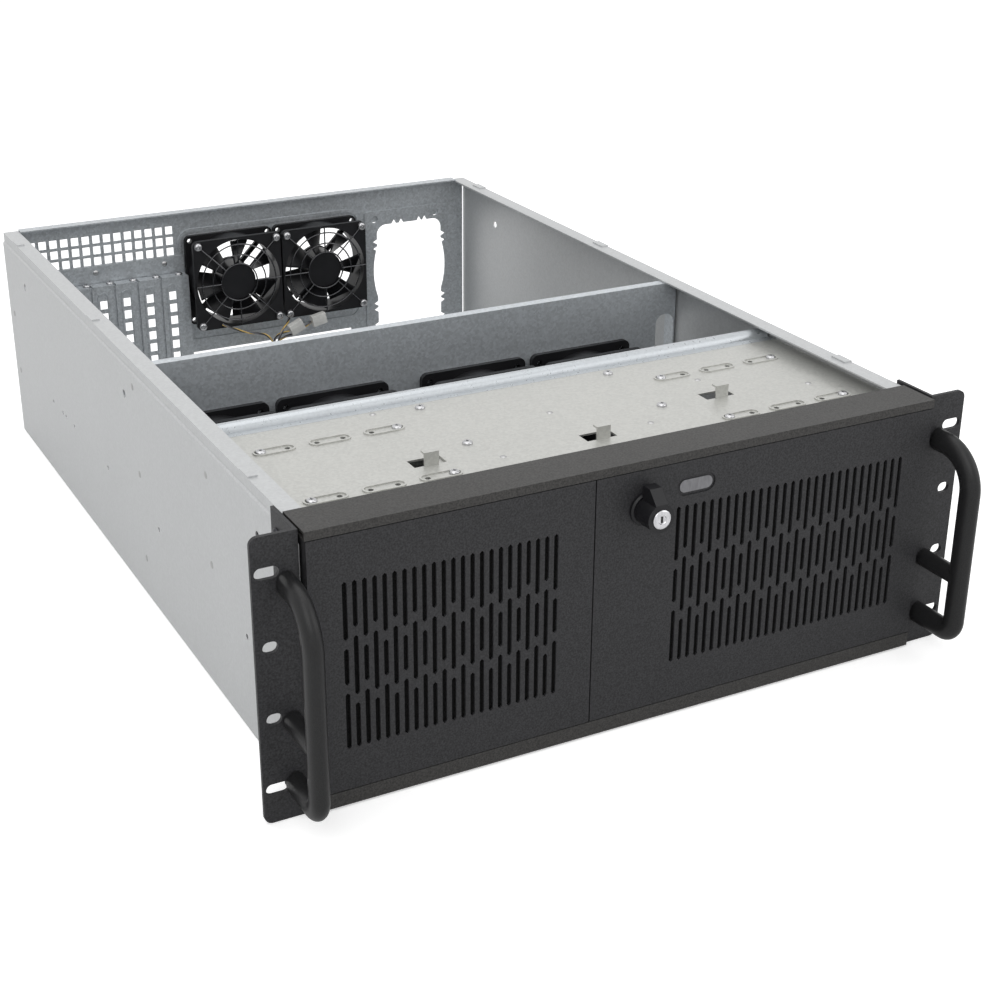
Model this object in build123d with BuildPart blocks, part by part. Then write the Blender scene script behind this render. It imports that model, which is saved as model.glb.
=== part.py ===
"""Open-topped 4U rackmount server case, 19 inch, drawn without its top cover.

X runs to the right seen from the front, Y runs from the front to the back, Z is up.
The origin is under the middle of the whole case, at the height of its bottom face.
"""

import os
from math import radians, sqrt, tan

from build123d import *

os.makedirs("parts", exist_ok=True)

# Rack panel and body
panel_top = 177.0
body_drop = 1.6
cap_drop = 0.5
rear_rise = 1.4
panel_bottom = 0.4
body_width = 427.8
ear_width = 27.4
body_depth = 650.0
sheet = 1.2
thick_sheet = 1.5
seat_gap = 0.2
close_gap = 0.3

# Side walls and their top rails
rail_flange = 12.0
rail_joggle = 1.2
joggle_drop = 8.3
wall_start = 2.7
pan_bend = 2.0
lance_length = 14.0
lance_height = 1.0
lance_places = (78.0, 390.0, 604.0)
rail_hole_height = 68.4
rail_hole_radius = 1.7
rail_hole_places = (91.6, 258.9, 377.3, 467.1, 490.3, 499.1, 527.1)
upper_hole_height = 146.0
upper_hole_radius = 3.0
upper_hole_places = (63.7, 316.4, 585.8)

# Front frame, cap and sill
frame_depth = 25.4
door_proud = 4.4
cap_lip = 5.5
sill_top = 11.0
jamb_start = 8.0
hinge_tab = 9.0

# Rack ears and their slots
ear_plate = 2.5
ear_flange = 2.0
ear_flange_depth = 34.0
ear_corner = 5.0
ear_screw_back = 26.0
ear_screw_heights = (20.0, 92.0, 164.0)
rack_unit = 44.45
slot_inset = 8.75
outer_slot_length = 14.0
inner_slot_length = 9.0
slot_height = 7.0

# Handles
handle_inset = 7.8
handle_reach = 42.5
handle_wide = 11.5
handle_deep = 15.0
handle_top = 147.0
handle_bottom = 22.5
handle_strut = 63.0
handle_strut_tall = 12.0
handle_bend_top = 26.0
handle_bend_bottom = 10.0

# Doors
door_gap = 0.5
door_rim = 10.4
door_seam = -34.4
seam_gap = 0.8
door_edge = 2.4
hinge_inset = 2.3
hinge_back = 3.9
pin_radius = 1.5
pin_running = 0.06
pin_length = 9.0
pin_head = 1.0
pin_head_rim = 0.8

# Door grilles
grille_pitch = 5.95
slot_width = 2.8
grille_low = 37.8
long_slot = 36.0
short_slot = 23.0
wide_slot = 37.4
end_slot = 28.8
slot_bridge = 4.9
left_columns = 23
left_grille_inset = 21.0
right_columns = 29
right_grille_inset = 22.3
filter_thick = 3.0
filter_margin = 6.0

# Lock and badge plate on the right door
lock_across = -1.0
lock_height = 146.5
lock_base_radius = 10.5
lock_base_thick = 3.0
knob_radius = 8.8
knob_reach = 14.5
knob_fin_length = 16.5
knob_fin_width = 8.0
cylinder_radius = 6.0
cylinder_proud = 1.5
barrel_radius = 7.0
cam_length = 20.0
cam_width = 8.0
cam_thick = 2.0
cam_back = 6.5
cylinder_gap = 0.05
key_slot_width = 1.6
key_slot_length = 7.0
strike_reach = 14.5
strike_height = 14.5
strike_gap = 1.0
badge_across = 34.5
badge_height = 154.6
badge_length = 27.0
badge_tall = 12.0
badge_plate_length = 23.0
badge_plate_tall = 8.0
badge_recess = 0.8
badge_plate_thick = 0.6

# Inner front panel with its bays and buttons
front_panel_back = 13.2
bay_low = 13.0
small_bay_across = 141.0
small_bay_width = 101.6
small_bay_height = 130.0
wide_bay_width = 146.1
wide_bay_height = 127.5
wide_bays = 3
power_height = 120.0
reset_height = 98.0
button_across = 81.6
power_radius = 4.5
reset_radius = 2.5
button_travel = 2.0
button_proud = 3.0
button_foot = 2.0
button_rim = 0.6
switch_wall = 1.0
switch_depth = 14.0
bay_cover_thick = 3.0
bay_cover_recess = 1.0
bay_cover_border = 10.0

# Drive deck, its cross bar and the drive cages
deck_drop = 9.4
deck_end = 162.0
deck_flange = 12.0
oval_length = 27.0
oval_width = 9.5
oval_proud = 0.8
oval_wall = 1.1
oval_rows = (51.5, 130.5)
oval_pitch = 36.0
hook_places = ((-103.3, 68.7), (7.3, 57.7), (111.9, 83.6))
hook_width = 9.5
hook_height = 8.6
hook_lip = 4.0
hook_hole_length = 21.0
hook_hole_width = 11.0
cage_screw_across = 69.5
cage_screw_rows = (88.0, 154.0)
oval_hole_pitch = 17.0
bar_roll_radius = 6.0
bar_roll_middle = 174.5
bar_skirt = 30.0
cage_sheet = 1.0
cage_start = 15.0
cage_length = 140.0
cage_flange = 9.0
cage_play = 0.5
cage_slots = 4
cage_slot_pitch = 34.0
cage_slot_length = 28.0
cage_slot_tall = 5.0

# Middle wall with its four fans
mid_wall_front = 287.0
mid_wall_flange = 8.0
mid_fan_pitch = 90.2
mid_pair_gap = 20.5
mid_fans_middle = -19.7
mid_fan_height = 93.5
cable_cut_width = 16.0
cable_cut_top = 149.5
cable_cut_low = 40.0
cable_cut_radius = 7.0

# Fans
fan_size = 80.0
fan_depth = 25.0
fan_bore = 38.0
fan_flange = 4.0
fan_corner = 5.0
fan_screw_spacing = 71.5
fan_screw_radius = 2.2
holder_margin = 2.2
hub_radius = 15.8
motor_radius = 16.5
motor_plate = 3.0
strut_width = 4.0
blade_count = 7
blade_tip_gap = 1.2
blade_thick = 1.6
blade_twist = 34.0
rotor_end_gap = 1.5
spindle_gap = 0.06
spindle_radius = 2.0
spindle_length = 14.0
duct_wall = 1.4
fan_struts = 4
blade_setback = 1.5
blade_root = 0.6
guard_rings = (16.5, 24.5, 34.0)
guard_wire = 1.6
guard_overlap = 1.0

# Rear wall
rear_flange = 10.0
rear_fan_pitch = 81.5
rear_fans_middle = 20.3
rear_fan_height = 114.0
rim_margin = 5.5
rim_drop = 18.0
rim_wide = 3.0
rim_proud = 1.0
rim_corner = 12.0
vent_columns = 14
vent_rows = 3
vent_pitch_across = 9.13
vent_pitch_up = 9.4
vent_wide = 6.4
vent_tall = 7.0
vent_inset = 22.5
vent_middle_height = 150.9
io_right = 95.5
io_width = 158.75
io_height = 44.45
io_low = 2.4

# Expansion slots
expansion_slots = 7
expansion_pitch = 20.32
first_slot_inset = 136.4
bracket_inset = 14.0
bracket_side = 3.0
bracket_low = 8.0
expansion_margin = 5.0
bracket_top = 121.8
bracket_beyond = 15.5
bracket_flange_top = 138.0
slot_open_width = 14.0
slot_low = 14.0
slot_high = 112.0
cover_width = 18.4
cover_thick = 1.0
cover_low = 10.0
cover_tab = 9.0
cover_screw_shift = 8.0
cover_holes = 8
cover_hole_pitch = 11.04
cover_hole_top = 106.3
cover_hole_wide = 6.3
cover_hole_tall = 7.4
cover_ridge = 0.6
cover_ridge_width = 1.2
cover_notch = 1.0

# Power supply plate
supply_inset = 9.1
supply_width = 94.0
supply_top = 154.5
supply_low = 10.0
supply_hole_inset = 12.0
supply_hole_width = 65.4
supply_hole_low = 22.0
supply_hole_top = 141.2
supply_corner = 9.0
supply_plate_corner = 2.0
supply_margin = 6.0
bulge_depth = 3.9
bulge_low = 73.0
bulge_high = 121.0
tooth_width = 4.6
tooth_depth = 4.0
supply_side_teeth = (125.8, 119.3, 66.9, 60.9, 46.2, 40.3, 26.0)
supply_top_teeth = (17.3, 24.6, 42.8, 48.5)
supply_round_places = (-2.2, 59.4)
supply_round_height = 147.0
supply_round_radius = 3.3

# Board standoffs on the case floor
standoff_radius = 3.0
standoff_height = 6.5
standoff_hole = 1.6
standoff_columns = (-193.4, -35.9, 88.5)
standoff_rows = (27.0, 181.9, 254.3)

# Fasteners
screw_head_radius = 3.3
screw_head_height = 1.9
screw_shank_radius = 1.6
screw_grip = 1.0

# Fan leads
lead_radius = 1.1
bend_share = 0.45
left_lead_path = (
    (-58.1, -0.6, 3.5),
    (-53.3, -10.0, 2.0),
    (-37.3, -11.5, -4.5),
    (-22.3, -12.5, -7.0),
    (-15.9, -13.1, -16.5),
    (-15.9, -13.1, -24.5),
    (-19.8, -12.5, -34.5),
    (-24.3, -11.5, -44.0),
    (-21.3, -10.9, -52.4),
    (-13.9, -10.5, -53.0),
    (-10.3, -10.0, -45.0),
    (-10.8, -9.5, -34.5),
    (-15.3, -10.2, -24.5),
    (-15.3, -10.2, -15.5),
    (-9.8, -8.5, -9.5),
    (-0.3, -11.2, -7.9),
)
right_lead_path = (
    (6.7, 5.5, -1.4),
    (1.2, -4.0, -2.4),
    (-8.8, -12.9, -7.5),
    (-12.7, -13.3, -16.5),
    (-12.7, -13.3, -24.5),
    (-13.3, -13.9, -33.5),
    (-12.9, -14.7, -43.5),
    (-9.9, -15.1, -52.2),
    (-2.7, -14.9, -52.2),
    (1.1, -14.5, -44.5),
    (-4.5, -12.9, -34.0),
    (-12.1, -10.6, -24.5),
    (-12.1, -10.6, -16.5),
    (-4.3, -7.9, -14.0),
    (5.7, -5.3, -13.5),
    (13.7, -7.5, -9.0),
    (20.7, -11.1, -2.7),
)
tie_place = (-14.0, -11.8)
tie_low = -23.0
tie_tall = 4.4
tie_radius = 5.1
tie_thick = 1.3
plug_length = 13.0
plug_tall = 10.0
plug_deep = 7.0
plug_places = (((6.2, -11.5, -5.0), 25.0), ((27.7, -11.5, -1.0), 12.0))

# Places that follow from the sizes above
panel_width = body_width + 2 * ear_width
body_height = panel_top - body_drop
cap_top = panel_top - cap_drop
rear_top = body_height + rear_rise
joggle_height = body_height - joggle_drop
deck_top = body_height - deck_drop
mid_wall_top = body_height - sheet - seat_gap
frame_width = body_width - 2 * sheet - 2 * seat_gap
whole_depth = body_depth + handle_reach
front_y = handle_reach - whole_depth / 2
rear_y = front_y + body_depth
half_body = body_width / 2
wall_inside = half_body - sheet
strip_inside = half_body - rail_joggle - sheet
door_front = front_y - door_proud
door_back = door_front + door_rim
frame_back = front_y + frame_depth
pin_y = door_front + hinge_back
slot_middle = (panel_top + panel_bottom) / 2
sill_bottom = sheet + close_gap
ear_inner = half_body + close_gap
pin_across = ear_inner - door_edge - hinge_inset
slot_across = panel_width - 2 * slot_inset
handle_across = 2 * (ear_inner + handle_inset)
left_grille_start = left_grille_inset - (ear_inner - door_edge)
right_grille_start = ear_inner - door_edge - right_grille_inset - (right_columns - 1) * grille_pitch
vent_start = vent_inset - half_body
first_slot = first_slot_inset - half_body
bracket_right = first_slot + bracket_beyond
supply_right = half_body - supply_inset
supply_left = supply_right - supply_width
supply_hole_left = supply_left + supply_hole_inset
supply_hole_right = supply_hole_left + supply_hole_width



def facing_plane(y):
    """A drawing plane at this y, seen from the front, whose extrusions come forward."""
    return Plane(origin=(0, y, 0), x_dir=(1, 0, 0), z_dir=(0, -1, 0))


def side_plane(x):
    """A drawing plane at this x whose first direction is Y and whose second is Z."""
    return Plane(origin=(x, 0, 0), x_dir=(0, 1, 0), z_dir=(1, 0, 0))


def finish_piece(builder, label):
    """Name a finished piece and write its file."""
    builder.part.label = label
    export_step(builder.part, f"parts/{label}.step")


def draw_box(x_span, y_span, z_span, mode=Mode.ADD):
    """A block between two corners, made in the part that is open."""
    spans = (x_span, y_span, z_span)
    middle = tuple((low + high) / 2 for low, high in spans)
    with Locations(middle):
        Box(*(high - low for low, high in spans), mode=mode)


def mirrored(value):
    """The span that reaches as far left as right."""
    return (-value, value)


def side_span(side, inner, outer):
    """An x span on the left (side -1) or right (side 1), from its inner to its outer end."""
    return (inner, outer) if side > 0 else (-outer, -inner)


# Chassis pan: the floor and both side walls with their top rails, folded from one sheet
rail_edge = half_body - rail_joggle - rail_flange
with BuildPart() as chassis_pan:
    with BuildSketch(facing_plane(rear_y)):
        with BuildLine():
            Polyline(
                (0, 0),
                (half_body, 0),
                (half_body, joggle_height),
                (half_body - rail_joggle, joggle_height + rail_joggle),
                (half_body - rail_joggle, body_height),
                (rail_edge, body_height),
                (rail_edge, body_height - sheet),
                (strip_inside, body_height - sheet),
                (strip_inside, joggle_height + rail_joggle),
                (wall_inside, joggle_height),
                (wall_inside, sheet),
                (0, sheet),
                close=True,
            )
        make_face()
        mirror(about=Plane.YZ)
    extrude(amount=body_depth - wall_start)
    fillet(chassis_pan.edges().filter_by(Axis.Y).group_by(Axis.Z)[0], pan_bend)
    for side in (-1, 1):
        draw_box(
            side_span(side, rail_edge, half_body),
            (front_y, frame_back + close_gap),
            (joggle_height, body_height),
            mode=Mode.SUBTRACT,
        )
    with BuildSketch(side_plane(-half_body)):
        with Locations(*[(front_y + place, rail_hole_height) for place in rail_hole_places]):
            Circle(rail_hole_radius)
        with Locations(*[(front_y + place, upper_hole_height) for place in upper_hole_places]):
            Circle(upper_hole_radius)
    extrude(amount=body_width, mode=Mode.SUBTRACT)
    for lance_start in lance_places:
        lance_y = front_y + lance_start
        for side in (-1, 1):
            draw_box(
                side_span(side, rail_edge + rail_flange / 2, half_body - rail_joggle),
                (lance_y, lance_y + lance_length),
                (body_height, body_height + lance_height),
            )
finish_piece(chassis_pan, "chassis_pan")

# Rear wall: fan openings with a pressed rim, the vent field, and the I/O, slot and supply openings
wall_plane = rear_y - sheet
rear_half = strip_inside - seat_gap
fan_span = rear_fan_pitch / 2 + fan_size / 2
slot_left_edge = first_slot - (expansion_slots - 1) * expansion_pitch - cover_width / 2
with BuildPart() as rear_wall:
    draw_box(mirrored(rear_half), (wall_plane, rear_y), (sheet + seat_gap, body_height - sheet - close_gap))
    draw_box(mirrored(rail_edge - close_gap), (wall_plane, rear_y), (joggle_height, rear_top))
    draw_box(
        mirrored(rail_edge - close_gap),
        (rear_y - rear_flange, rear_y),
        (rear_top - sheet, rear_top),
    )
    with BuildSketch(facing_plane(rear_y)):
        with GridLocations(rear_fan_pitch, 0, 2, 1):
            with Locations((rear_fans_middle, rear_fan_height)):
                Circle(fan_bore)
        with Locations((rear_fans_middle, rear_fan_height)):
            with GridLocations(rear_fan_pitch, 0, 2, 1):
                with GridLocations(fan_screw_spacing, fan_screw_spacing, 2, 2):
                    RegularPolygon(fan_screw_radius, 8)
        with Locations((io_right - io_width / 2, io_low + io_height / 2)):
            Rectangle(io_width, io_height)
        slot_right_edge = bracket_right - expansion_margin
        with Locations(((slot_right_edge + slot_left_edge) / 2, (slot_low + slot_high) / 2)):
            Rectangle(slot_right_edge - slot_left_edge, slot_high - slot_low)
        supply_middle = (supply_hole_left + supply_hole_right) / 2
        supply_opening = supply_hole_right - supply_hole_left + 2 * supply_margin
        with Locations((supply_middle, (supply_hole_low + supply_hole_top) / 2)):
            Rectangle(supply_opening, supply_hole_top - supply_hole_low + supply_margin)
        vent_middle = vent_start + (vent_columns - 1) * vent_pitch_across / 2
        with Locations((vent_middle, vent_middle_height)):
            with GridLocations(vent_pitch_across, vent_pitch_up, vent_columns, vent_rows):
                Rectangle(vent_wide, vent_tall)
    extrude(amount=sheet, mode=Mode.SUBTRACT)
    rim_width = 2 * (fan_span + rim_margin)
    rim_height = fan_size + rim_margin + rim_drop
    rim_place = (rear_fans_middle, rear_fan_height + (rim_margin - rim_drop) / 2)
    with BuildSketch(facing_plane(wall_plane)):
        with Locations(rim_place):
            RectangleRounded(rim_width, rim_height, rim_corner)
            RectangleRounded(
                rim_width - 2 * rim_wide,
                rim_height - 2 * rim_wide,
                rim_corner - rim_wide,
                mode=Mode.SUBTRACT,
            )
    extrude(amount=rim_proud)
finish_piece(rear_wall, "rear_wall")

# Power supply plate: a notched opening with a bulge on each side
with BuildPart() as supply_plate:
    with BuildSketch(facing_plane(wall_plane - seat_gap)):
        with Locations(((supply_left + supply_right) / 2, (supply_low + supply_top) / 2)):
            RectangleRounded(supply_width, supply_top - supply_low, supply_plate_corner)
        hole_middle = (supply_hole_left + supply_hole_right) / 2
        with Locations((hole_middle, (supply_hole_low + supply_hole_top) / 2)):
            hole_height = supply_hole_top - supply_hole_low
            RectangleRounded(supply_hole_width, hole_height, supply_corner, mode=Mode.SUBTRACT)
        with BuildLine():
            bulge_middle = (bulge_low + bulge_high) / 2
            left_bulge = ThreePointArc(
                (supply_hole_left, bulge_high),
                (supply_hole_left - bulge_depth, bulge_middle),
                (supply_hole_left, bulge_low),
            )
            Line(left_bulge @ 1, (supply_hole_right, bulge_low))
            right_bulge = ThreePointArc(
                (supply_hole_right, bulge_low),
                (supply_hole_right + bulge_depth, bulge_middle),
                (supply_hole_right, bulge_high),
            )
            Line(right_bulge @ 1, left_bulge @ 0)
        make_face(mode=Mode.SUBTRACT)
        tooth = [(-tooth_width / 2, 0), (tooth_width / 2, 0), (0, tooth_depth)]
        for height in supply_side_teeth:
            for edge, turn in ((supply_hole_left, 90), (supply_hole_right, -90)):
                with Locations(Location((edge, height, 0), (0, 0, turn))):
                    Polygon(*tooth, align=None, mode=Mode.SUBTRACT)
        for place in supply_top_teeth:
            with Locations((supply_hole_left + place, supply_hole_top)):
                Polygon(*tooth, align=None, mode=Mode.SUBTRACT)
        for place in supply_round_places:
            with Locations((supply_hole_left + place, supply_round_height)):
                Circle(supply_round_radius, mode=Mode.SUBTRACT)
    extrude(amount=sheet)
finish_piece(supply_plate, "supply_plate")

# Slot bracket: an inset face with seven slots, a ledge for the cover screws and two flanges
bracket_face = rear_y - bracket_inset
bracket_left = slot_left_edge - bracket_side
with BuildPart() as slot_bracket:
    with BuildSketch(facing_plane(bracket_face + sheet)):
        with Locations(((bracket_left + bracket_right) / 2, (bracket_low + bracket_top) / 2)):
            Rectangle(bracket_right - bracket_left, bracket_top - bracket_low)
        last_slot = first_slot - (expansion_slots - 1) * expansion_pitch
        with Locations(((first_slot + last_slot) / 2, (slot_low + slot_high) / 2)):
            with GridLocations(expansion_pitch, 0, expansion_slots, 1):
                Rectangle(slot_open_width, slot_high - slot_low, mode=Mode.SUBTRACT)
    extrude(amount=sheet)
    flange_back = wall_plane - rim_proud - seat_gap
    draw_box((bracket_left, bracket_right), (bracket_face, flange_back), (bracket_top - sheet, bracket_top))
    draw_box(
        (bracket_left, bracket_right),
        (flange_back - sheet, flange_back),
        (bracket_top - sheet, bracket_flange_top),
    )
    draw_box((bracket_right - sheet, bracket_right), (bracket_face, flange_back), (bracket_low, bracket_top))
finish_piece(slot_bracket, "slot_bracket")


def make_slot_cover(label, middle_x):
    """A slot cover: a strip with a raised oval, one column of square holes and a screw tab."""
    cover_back = bracket_face - seat_gap
    with BuildPart() as cover:
        with BuildSketch(facing_plane(cover_back)):
            with Locations((middle_x, (cover_low + bracket_top) / 2)):
                Rectangle(cover_width, bracket_top - cover_low)
        extrude(amount=cover_thick)
        oval_low = cover_hole_top - (cover_holes - 1) * cover_hole_pitch
        oval_middle = (cover_hole_top + oval_low) / 2
        oval_tall = (cover_holes + 1) * cover_hole_pitch
        with BuildSketch(facing_plane(cover_back - cover_thick)):
            with Locations(Location((middle_x, oval_middle, 0), (0, 0, 90))):
                SlotOverall(oval_tall, cover_hole_wide + 3 * cover_ridge_width)
                SlotOverall(
                    oval_tall - 2 * cover_ridge_width,
                    cover_hole_wide + cover_ridge_width,
                    mode=Mode.SUBTRACT,
                )
        extrude(amount=cover_ridge)
        with BuildSketch(facing_plane(cover_back)):
            with Locations((middle_x, oval_middle)):
                with GridLocations(0, cover_hole_pitch, 1, cover_holes):
                    Rectangle(cover_hole_wide, cover_hole_tall)
        extrude(amount=cover_thick, mode=Mode.SUBTRACT)
        draw_box(
            (middle_x - cover_width / 2 + cover_notch, middle_x + cover_width / 2),
            (cover_back - cover_thick, cover_back + cover_tab),
            (bracket_top + seat_gap, bracket_top + seat_gap + cover_thick),
        )
        draw_box(
            (middle_x - cover_width / 2 + cover_notch, middle_x + cover_width / 2),
            (cover_back - cover_thick, cover_back),
            (bracket_top, bracket_top + seat_gap),
        )
        with BuildSketch(Plane.XY.offset(bracket_top + seat_gap)):
            with Locations((middle_x + cover_screw_shift, cover_back + cover_tab / 2)):
                Circle(screw_shank_radius + seat_gap)
        extrude(amount=cover_thick, mode=Mode.SUBTRACT)
    finish_piece(cover, label)


for index in range(expansion_slots):
    make_slot_cover(f"slot_cover_{index + 1}", first_slot - index * expansion_pitch)


def make_screws(label, places):
    """Pan-head screws in one group; each place is a point under its head and its outward way."""
    with BuildPart() as screws:
        for point, outward in places:
            seat = Plane(origin=point, z_dir=outward)
            with BuildSketch(seat):
                Circle(screw_head_radius)
            extrude(amount=screw_head_height)
            with BuildSketch(seat):
                Circle(screw_shank_radius)
            extrude(amount=-screw_grip)
    finish_piece(screws, label)


tab_top = bracket_top + seat_gap + cover_thick
cover_screw_y = bracket_face - seat_gap + cover_tab / 2
make_screws(
    "slot_screws",
    [
        ((first_slot - index * expansion_pitch + cover_screw_shift, cover_screw_y, tab_top), (0, 0, 1))
        for index in range(expansion_slots)
    ],
)

# Front frame: a folded cap, a sill, two jambs and four drilled hinge tabs
door_low = sill_top + door_gap
door_high = cap_top - cap_lip - door_gap
frame_half = frame_width / 2
frame_rear_lip = deck_top + seat_gap
with BuildPart() as front_frame:
    with BuildSketch(side_plane(-frame_half)):
        with BuildLine():
            Polyline(
                (door_front, cap_top - cap_lip),
                (door_front, cap_top),
                (frame_back, cap_top),
                (frame_back, frame_rear_lip),
                (frame_back - thick_sheet, frame_rear_lip),
                (frame_back - thick_sheet, cap_top - thick_sheet),
                (door_front + thick_sheet, cap_top - thick_sheet),
                (door_front + thick_sheet, cap_top - cap_lip),
                close=True,
            )
        make_face()
        with BuildLine():
            Polyline(
                (door_front, sill_top),
                (door_front, sill_bottom),
                (frame_back, sill_bottom),
                (frame_back, sill_top),
                (frame_back - thick_sheet, sill_top),
                (frame_back - thick_sheet, sill_bottom + thick_sheet),
                (door_front + thick_sheet, sill_bottom + thick_sheet),
                (door_front + thick_sheet, sill_top),
                close=True,
            )
        make_face()
    extrude(amount=frame_width)
    for side in (-1, 1):
        draw_box(
            side_span(side, frame_half - thick_sheet, frame_half),
            (front_y + jamb_start, frame_back),
            (sill_bottom, cap_top),
        )
        for tab_low in (cap_top - cap_lip, sill_top - thick_sheet):
            draw_box(
                side_span(side, frame_half - hinge_tab, frame_half),
                (door_front, front_y + jamb_start + thick_sheet),
                (tab_low, tab_low + thick_sheet),
            )
            with BuildSketch(Plane.XY.offset(tab_low)):
                with Locations((side * pin_across, pin_y)):
                    Circle(pin_radius + pin_running)
            extrude(amount=thick_sheet, mode=Mode.SUBTRACT)
finish_piece(front_frame, "front_frame")

# Hinge pins: headed pins through the tabs into the doors' folded edges
with BuildPart() as hinge_pins:
    for side in (-1, 1):
        pin_ends = (
            (cap_top - cap_lip + thick_sheet, -1),
            (sill_top - thick_sheet, 1),
        )
        for seat, way in pin_ends:
            with BuildSketch(Plane.XY.offset(seat)):
                with Locations((side * pin_across, pin_y)):
                    Circle(pin_radius)
            extrude(amount=way * pin_length)
            with BuildSketch(Plane.XY.offset(seat)):
                with Locations((side * pin_across, pin_y)):
                    Circle(pin_radius + pin_head_rim)
            extrude(amount=-way * pin_head)
finish_piece(hinge_pins, "hinge_pins")


def make_ear(label, side):
    """A rack ear: an angle with two long and two short slots in its face."""
    with BuildPart() as ear:
        with BuildSketch(Plane.XY.offset(panel_bottom)):
            with BuildLine():
                Polyline(
                    (side * ear_inner, front_y),
                    (side * panel_width / 2, front_y),
                    (side * panel_width / 2, front_y + ear_plate),
                    (side * (ear_inner + ear_flange), front_y + ear_plate),
                    (side * (ear_inner + ear_flange), front_y + ear_flange_depth),
                    (side * ear_inner, front_y + ear_flange_depth),
                    close=True,
                )
            make_face()
        extrude(amount=panel_top - panel_bottom)
        outer_edges = ear.edges().filter_by(Axis.Y).filter_by(
            lambda edge: abs(edge.center().X) > panel_width / 2 - ear_plate
        )
        fillet(outer_edges, ear_corner)
        with BuildSketch(facing_plane(front_y + ear_plate)):
            with Locations((side * slot_across / 2, slot_middle)):
                with GridLocations(0, 3 * rack_unit, 1, 2):
                    SlotOverall(outer_slot_length, slot_height)
                with GridLocations(0, rack_unit, 1, 2):
                    SlotOverall(inner_slot_length, slot_height)
        extrude(amount=ear_plate, mode=Mode.SUBTRACT)
        with BuildSketch(side_plane(side * ear_inner)):
            with Locations(*[(front_y + ear_screw_back, height) for height in ear_screw_heights]):
                Circle(screw_shank_radius + seat_gap)
        extrude(amount=side * ear_flange, mode=Mode.SUBTRACT)
    finish_piece(ear, label)


def make_handle(label, side):
    """A bail handle of oval bar with a large upper bend, a tight lower bend and a lower strut."""
    grip_y = front_y - handle_reach + handle_deep / 2
    handle_x = side * handle_across / 2
    with BuildPart() as handle:
        with BuildLine(side_plane(handle_x)) as bar_line:
            FilletPolyline(
                (front_y, handle_top),
                (grip_y, handle_top),
                (grip_y, handle_bottom),
                (front_y, handle_bottom),
                radius=(handle_bend_top, handle_bend_bottom),
            )
        with BuildSketch(facing_plane(front_y)):
            with Locations((handle_x, handle_top)):
                Ellipse(handle_wide / 2, handle_deep / 2)
        sweep(path=bar_line.line)
        with BuildSketch(facing_plane(front_y)):
            with Locations((handle_x, handle_strut)):
                Ellipse(handle_wide / 2, handle_strut_tall / 2)
        extrude(amount=front_y - grip_y)
    finish_piece(handle, label)


for side, name in ((-1, "left"), (1, "right")):
    make_ear(f"ear_{name}", side)
    make_handle(f"handle_{name}", side)

make_screws(
    "ear_screws",
    [
        ((side * (ear_inner + ear_flange), front_y + ear_screw_back, height), (side, 0, 0))
        for side in (-1, 1)
        for height in ear_screw_heights
    ],
)

# Grille pattern shared by both doors: columns of three slots, in two alternating rows of heights
column_kinds = ((long_slot, short_slot, long_slot), (end_slot, wide_slot, end_slot))


def draw_grille(start, columns):
    """The slots of one door, drawn in the sketch that is open."""
    for index in range(columns):
        low = grille_low
        for length in column_kinds[index % 2]:
            half_slot = length / 2
            shoulder = half_slot - slot_width / 2
            with Locations((start + index * grille_pitch, low + half_slot)):
                Polygon(
                    (-slot_width / 2, -shoulder),
                    (0, -half_slot),
                    (slot_width / 2, -shoulder),
                    (slot_width / 2, shoulder),
                    (0, half_slot),
                    (-slot_width / 2, shoulder),
                    align=None,
                    mode=Mode.SUBTRACT,
                )
            low += length + slot_bridge


def make_door(label, x_low, x_high, hinge_side, grille_start, columns, with_lock):
    """A door folded as a shallow pan, with its staggered grille and its hinge bores."""
    with BuildPart() as door:
        with BuildSketch(facing_plane(door_front + thick_sheet)):
            with Locations(((x_low + x_high) / 2, (door_low + door_high) / 2)):
                Rectangle(x_high - x_low, door_high - door_low)
            draw_grille(grille_start, columns)
            if with_lock:
                with Locations((lock_across, lock_height)):
                    Circle(barrel_radius + close_gap, mode=Mode.SUBTRACT)
        extrude(amount=thick_sheet)
        with BuildSketch(facing_plane(door_back)):
            with Locations(((x_low + x_high) / 2, (door_low + door_high) / 2)):
                Rectangle(x_high - x_low, door_high - door_low)
                Rectangle(
                    x_high - x_low - 2 * thick_sheet,
                    door_high - door_low - 2 * thick_sheet,
                    mode=Mode.SUBTRACT,
                )
        extrude(amount=door_rim - thick_sheet)
        for seat, way in ((door_high, -1), (door_low, 1)):
            with BuildSketch(Plane.XY.offset(seat)):
                with Locations((hinge_side * pin_across, pin_y)):
                    Circle(pin_radius + pin_running)
            extrude(amount=way * pin_length, mode=Mode.SUBTRACT)
        if with_lock:
            with BuildSketch(facing_plane(door_front + badge_recess)):
                with Locations((badge_across, badge_height)):
                    SlotOverall(badge_length, badge_tall)
            extrude(amount=badge_recess, mode=Mode.SUBTRACT)
    finish_piece(door, label)


def make_filter(label, start, columns):
    """A foam sheet lying against the back of one grille."""
    grille_high = grille_low + 2 * (long_slot + slot_bridge) + short_slot
    end = start + (columns - 1) * grille_pitch
    foam_front = door_front + thick_sheet + seat_gap
    with BuildPart() as foam:
        draw_box(
            (start - filter_margin, end + filter_margin),
            (foam_front, foam_front + filter_thick),
            (grille_low - filter_margin, grille_high + filter_margin),
        )
    finish_piece(foam, label)


door_half = ear_inner - door_edge
make_door("door_left", -door_half, door_seam - seam_gap / 2, -1, left_grille_start, left_columns, False)
make_door("door_right", door_seam + seam_gap / 2, door_half, 1, right_grille_start, right_columns, True)
make_filter("filter_left", left_grille_start, left_columns)
make_filter("filter_right", right_grille_start, right_columns)

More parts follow.
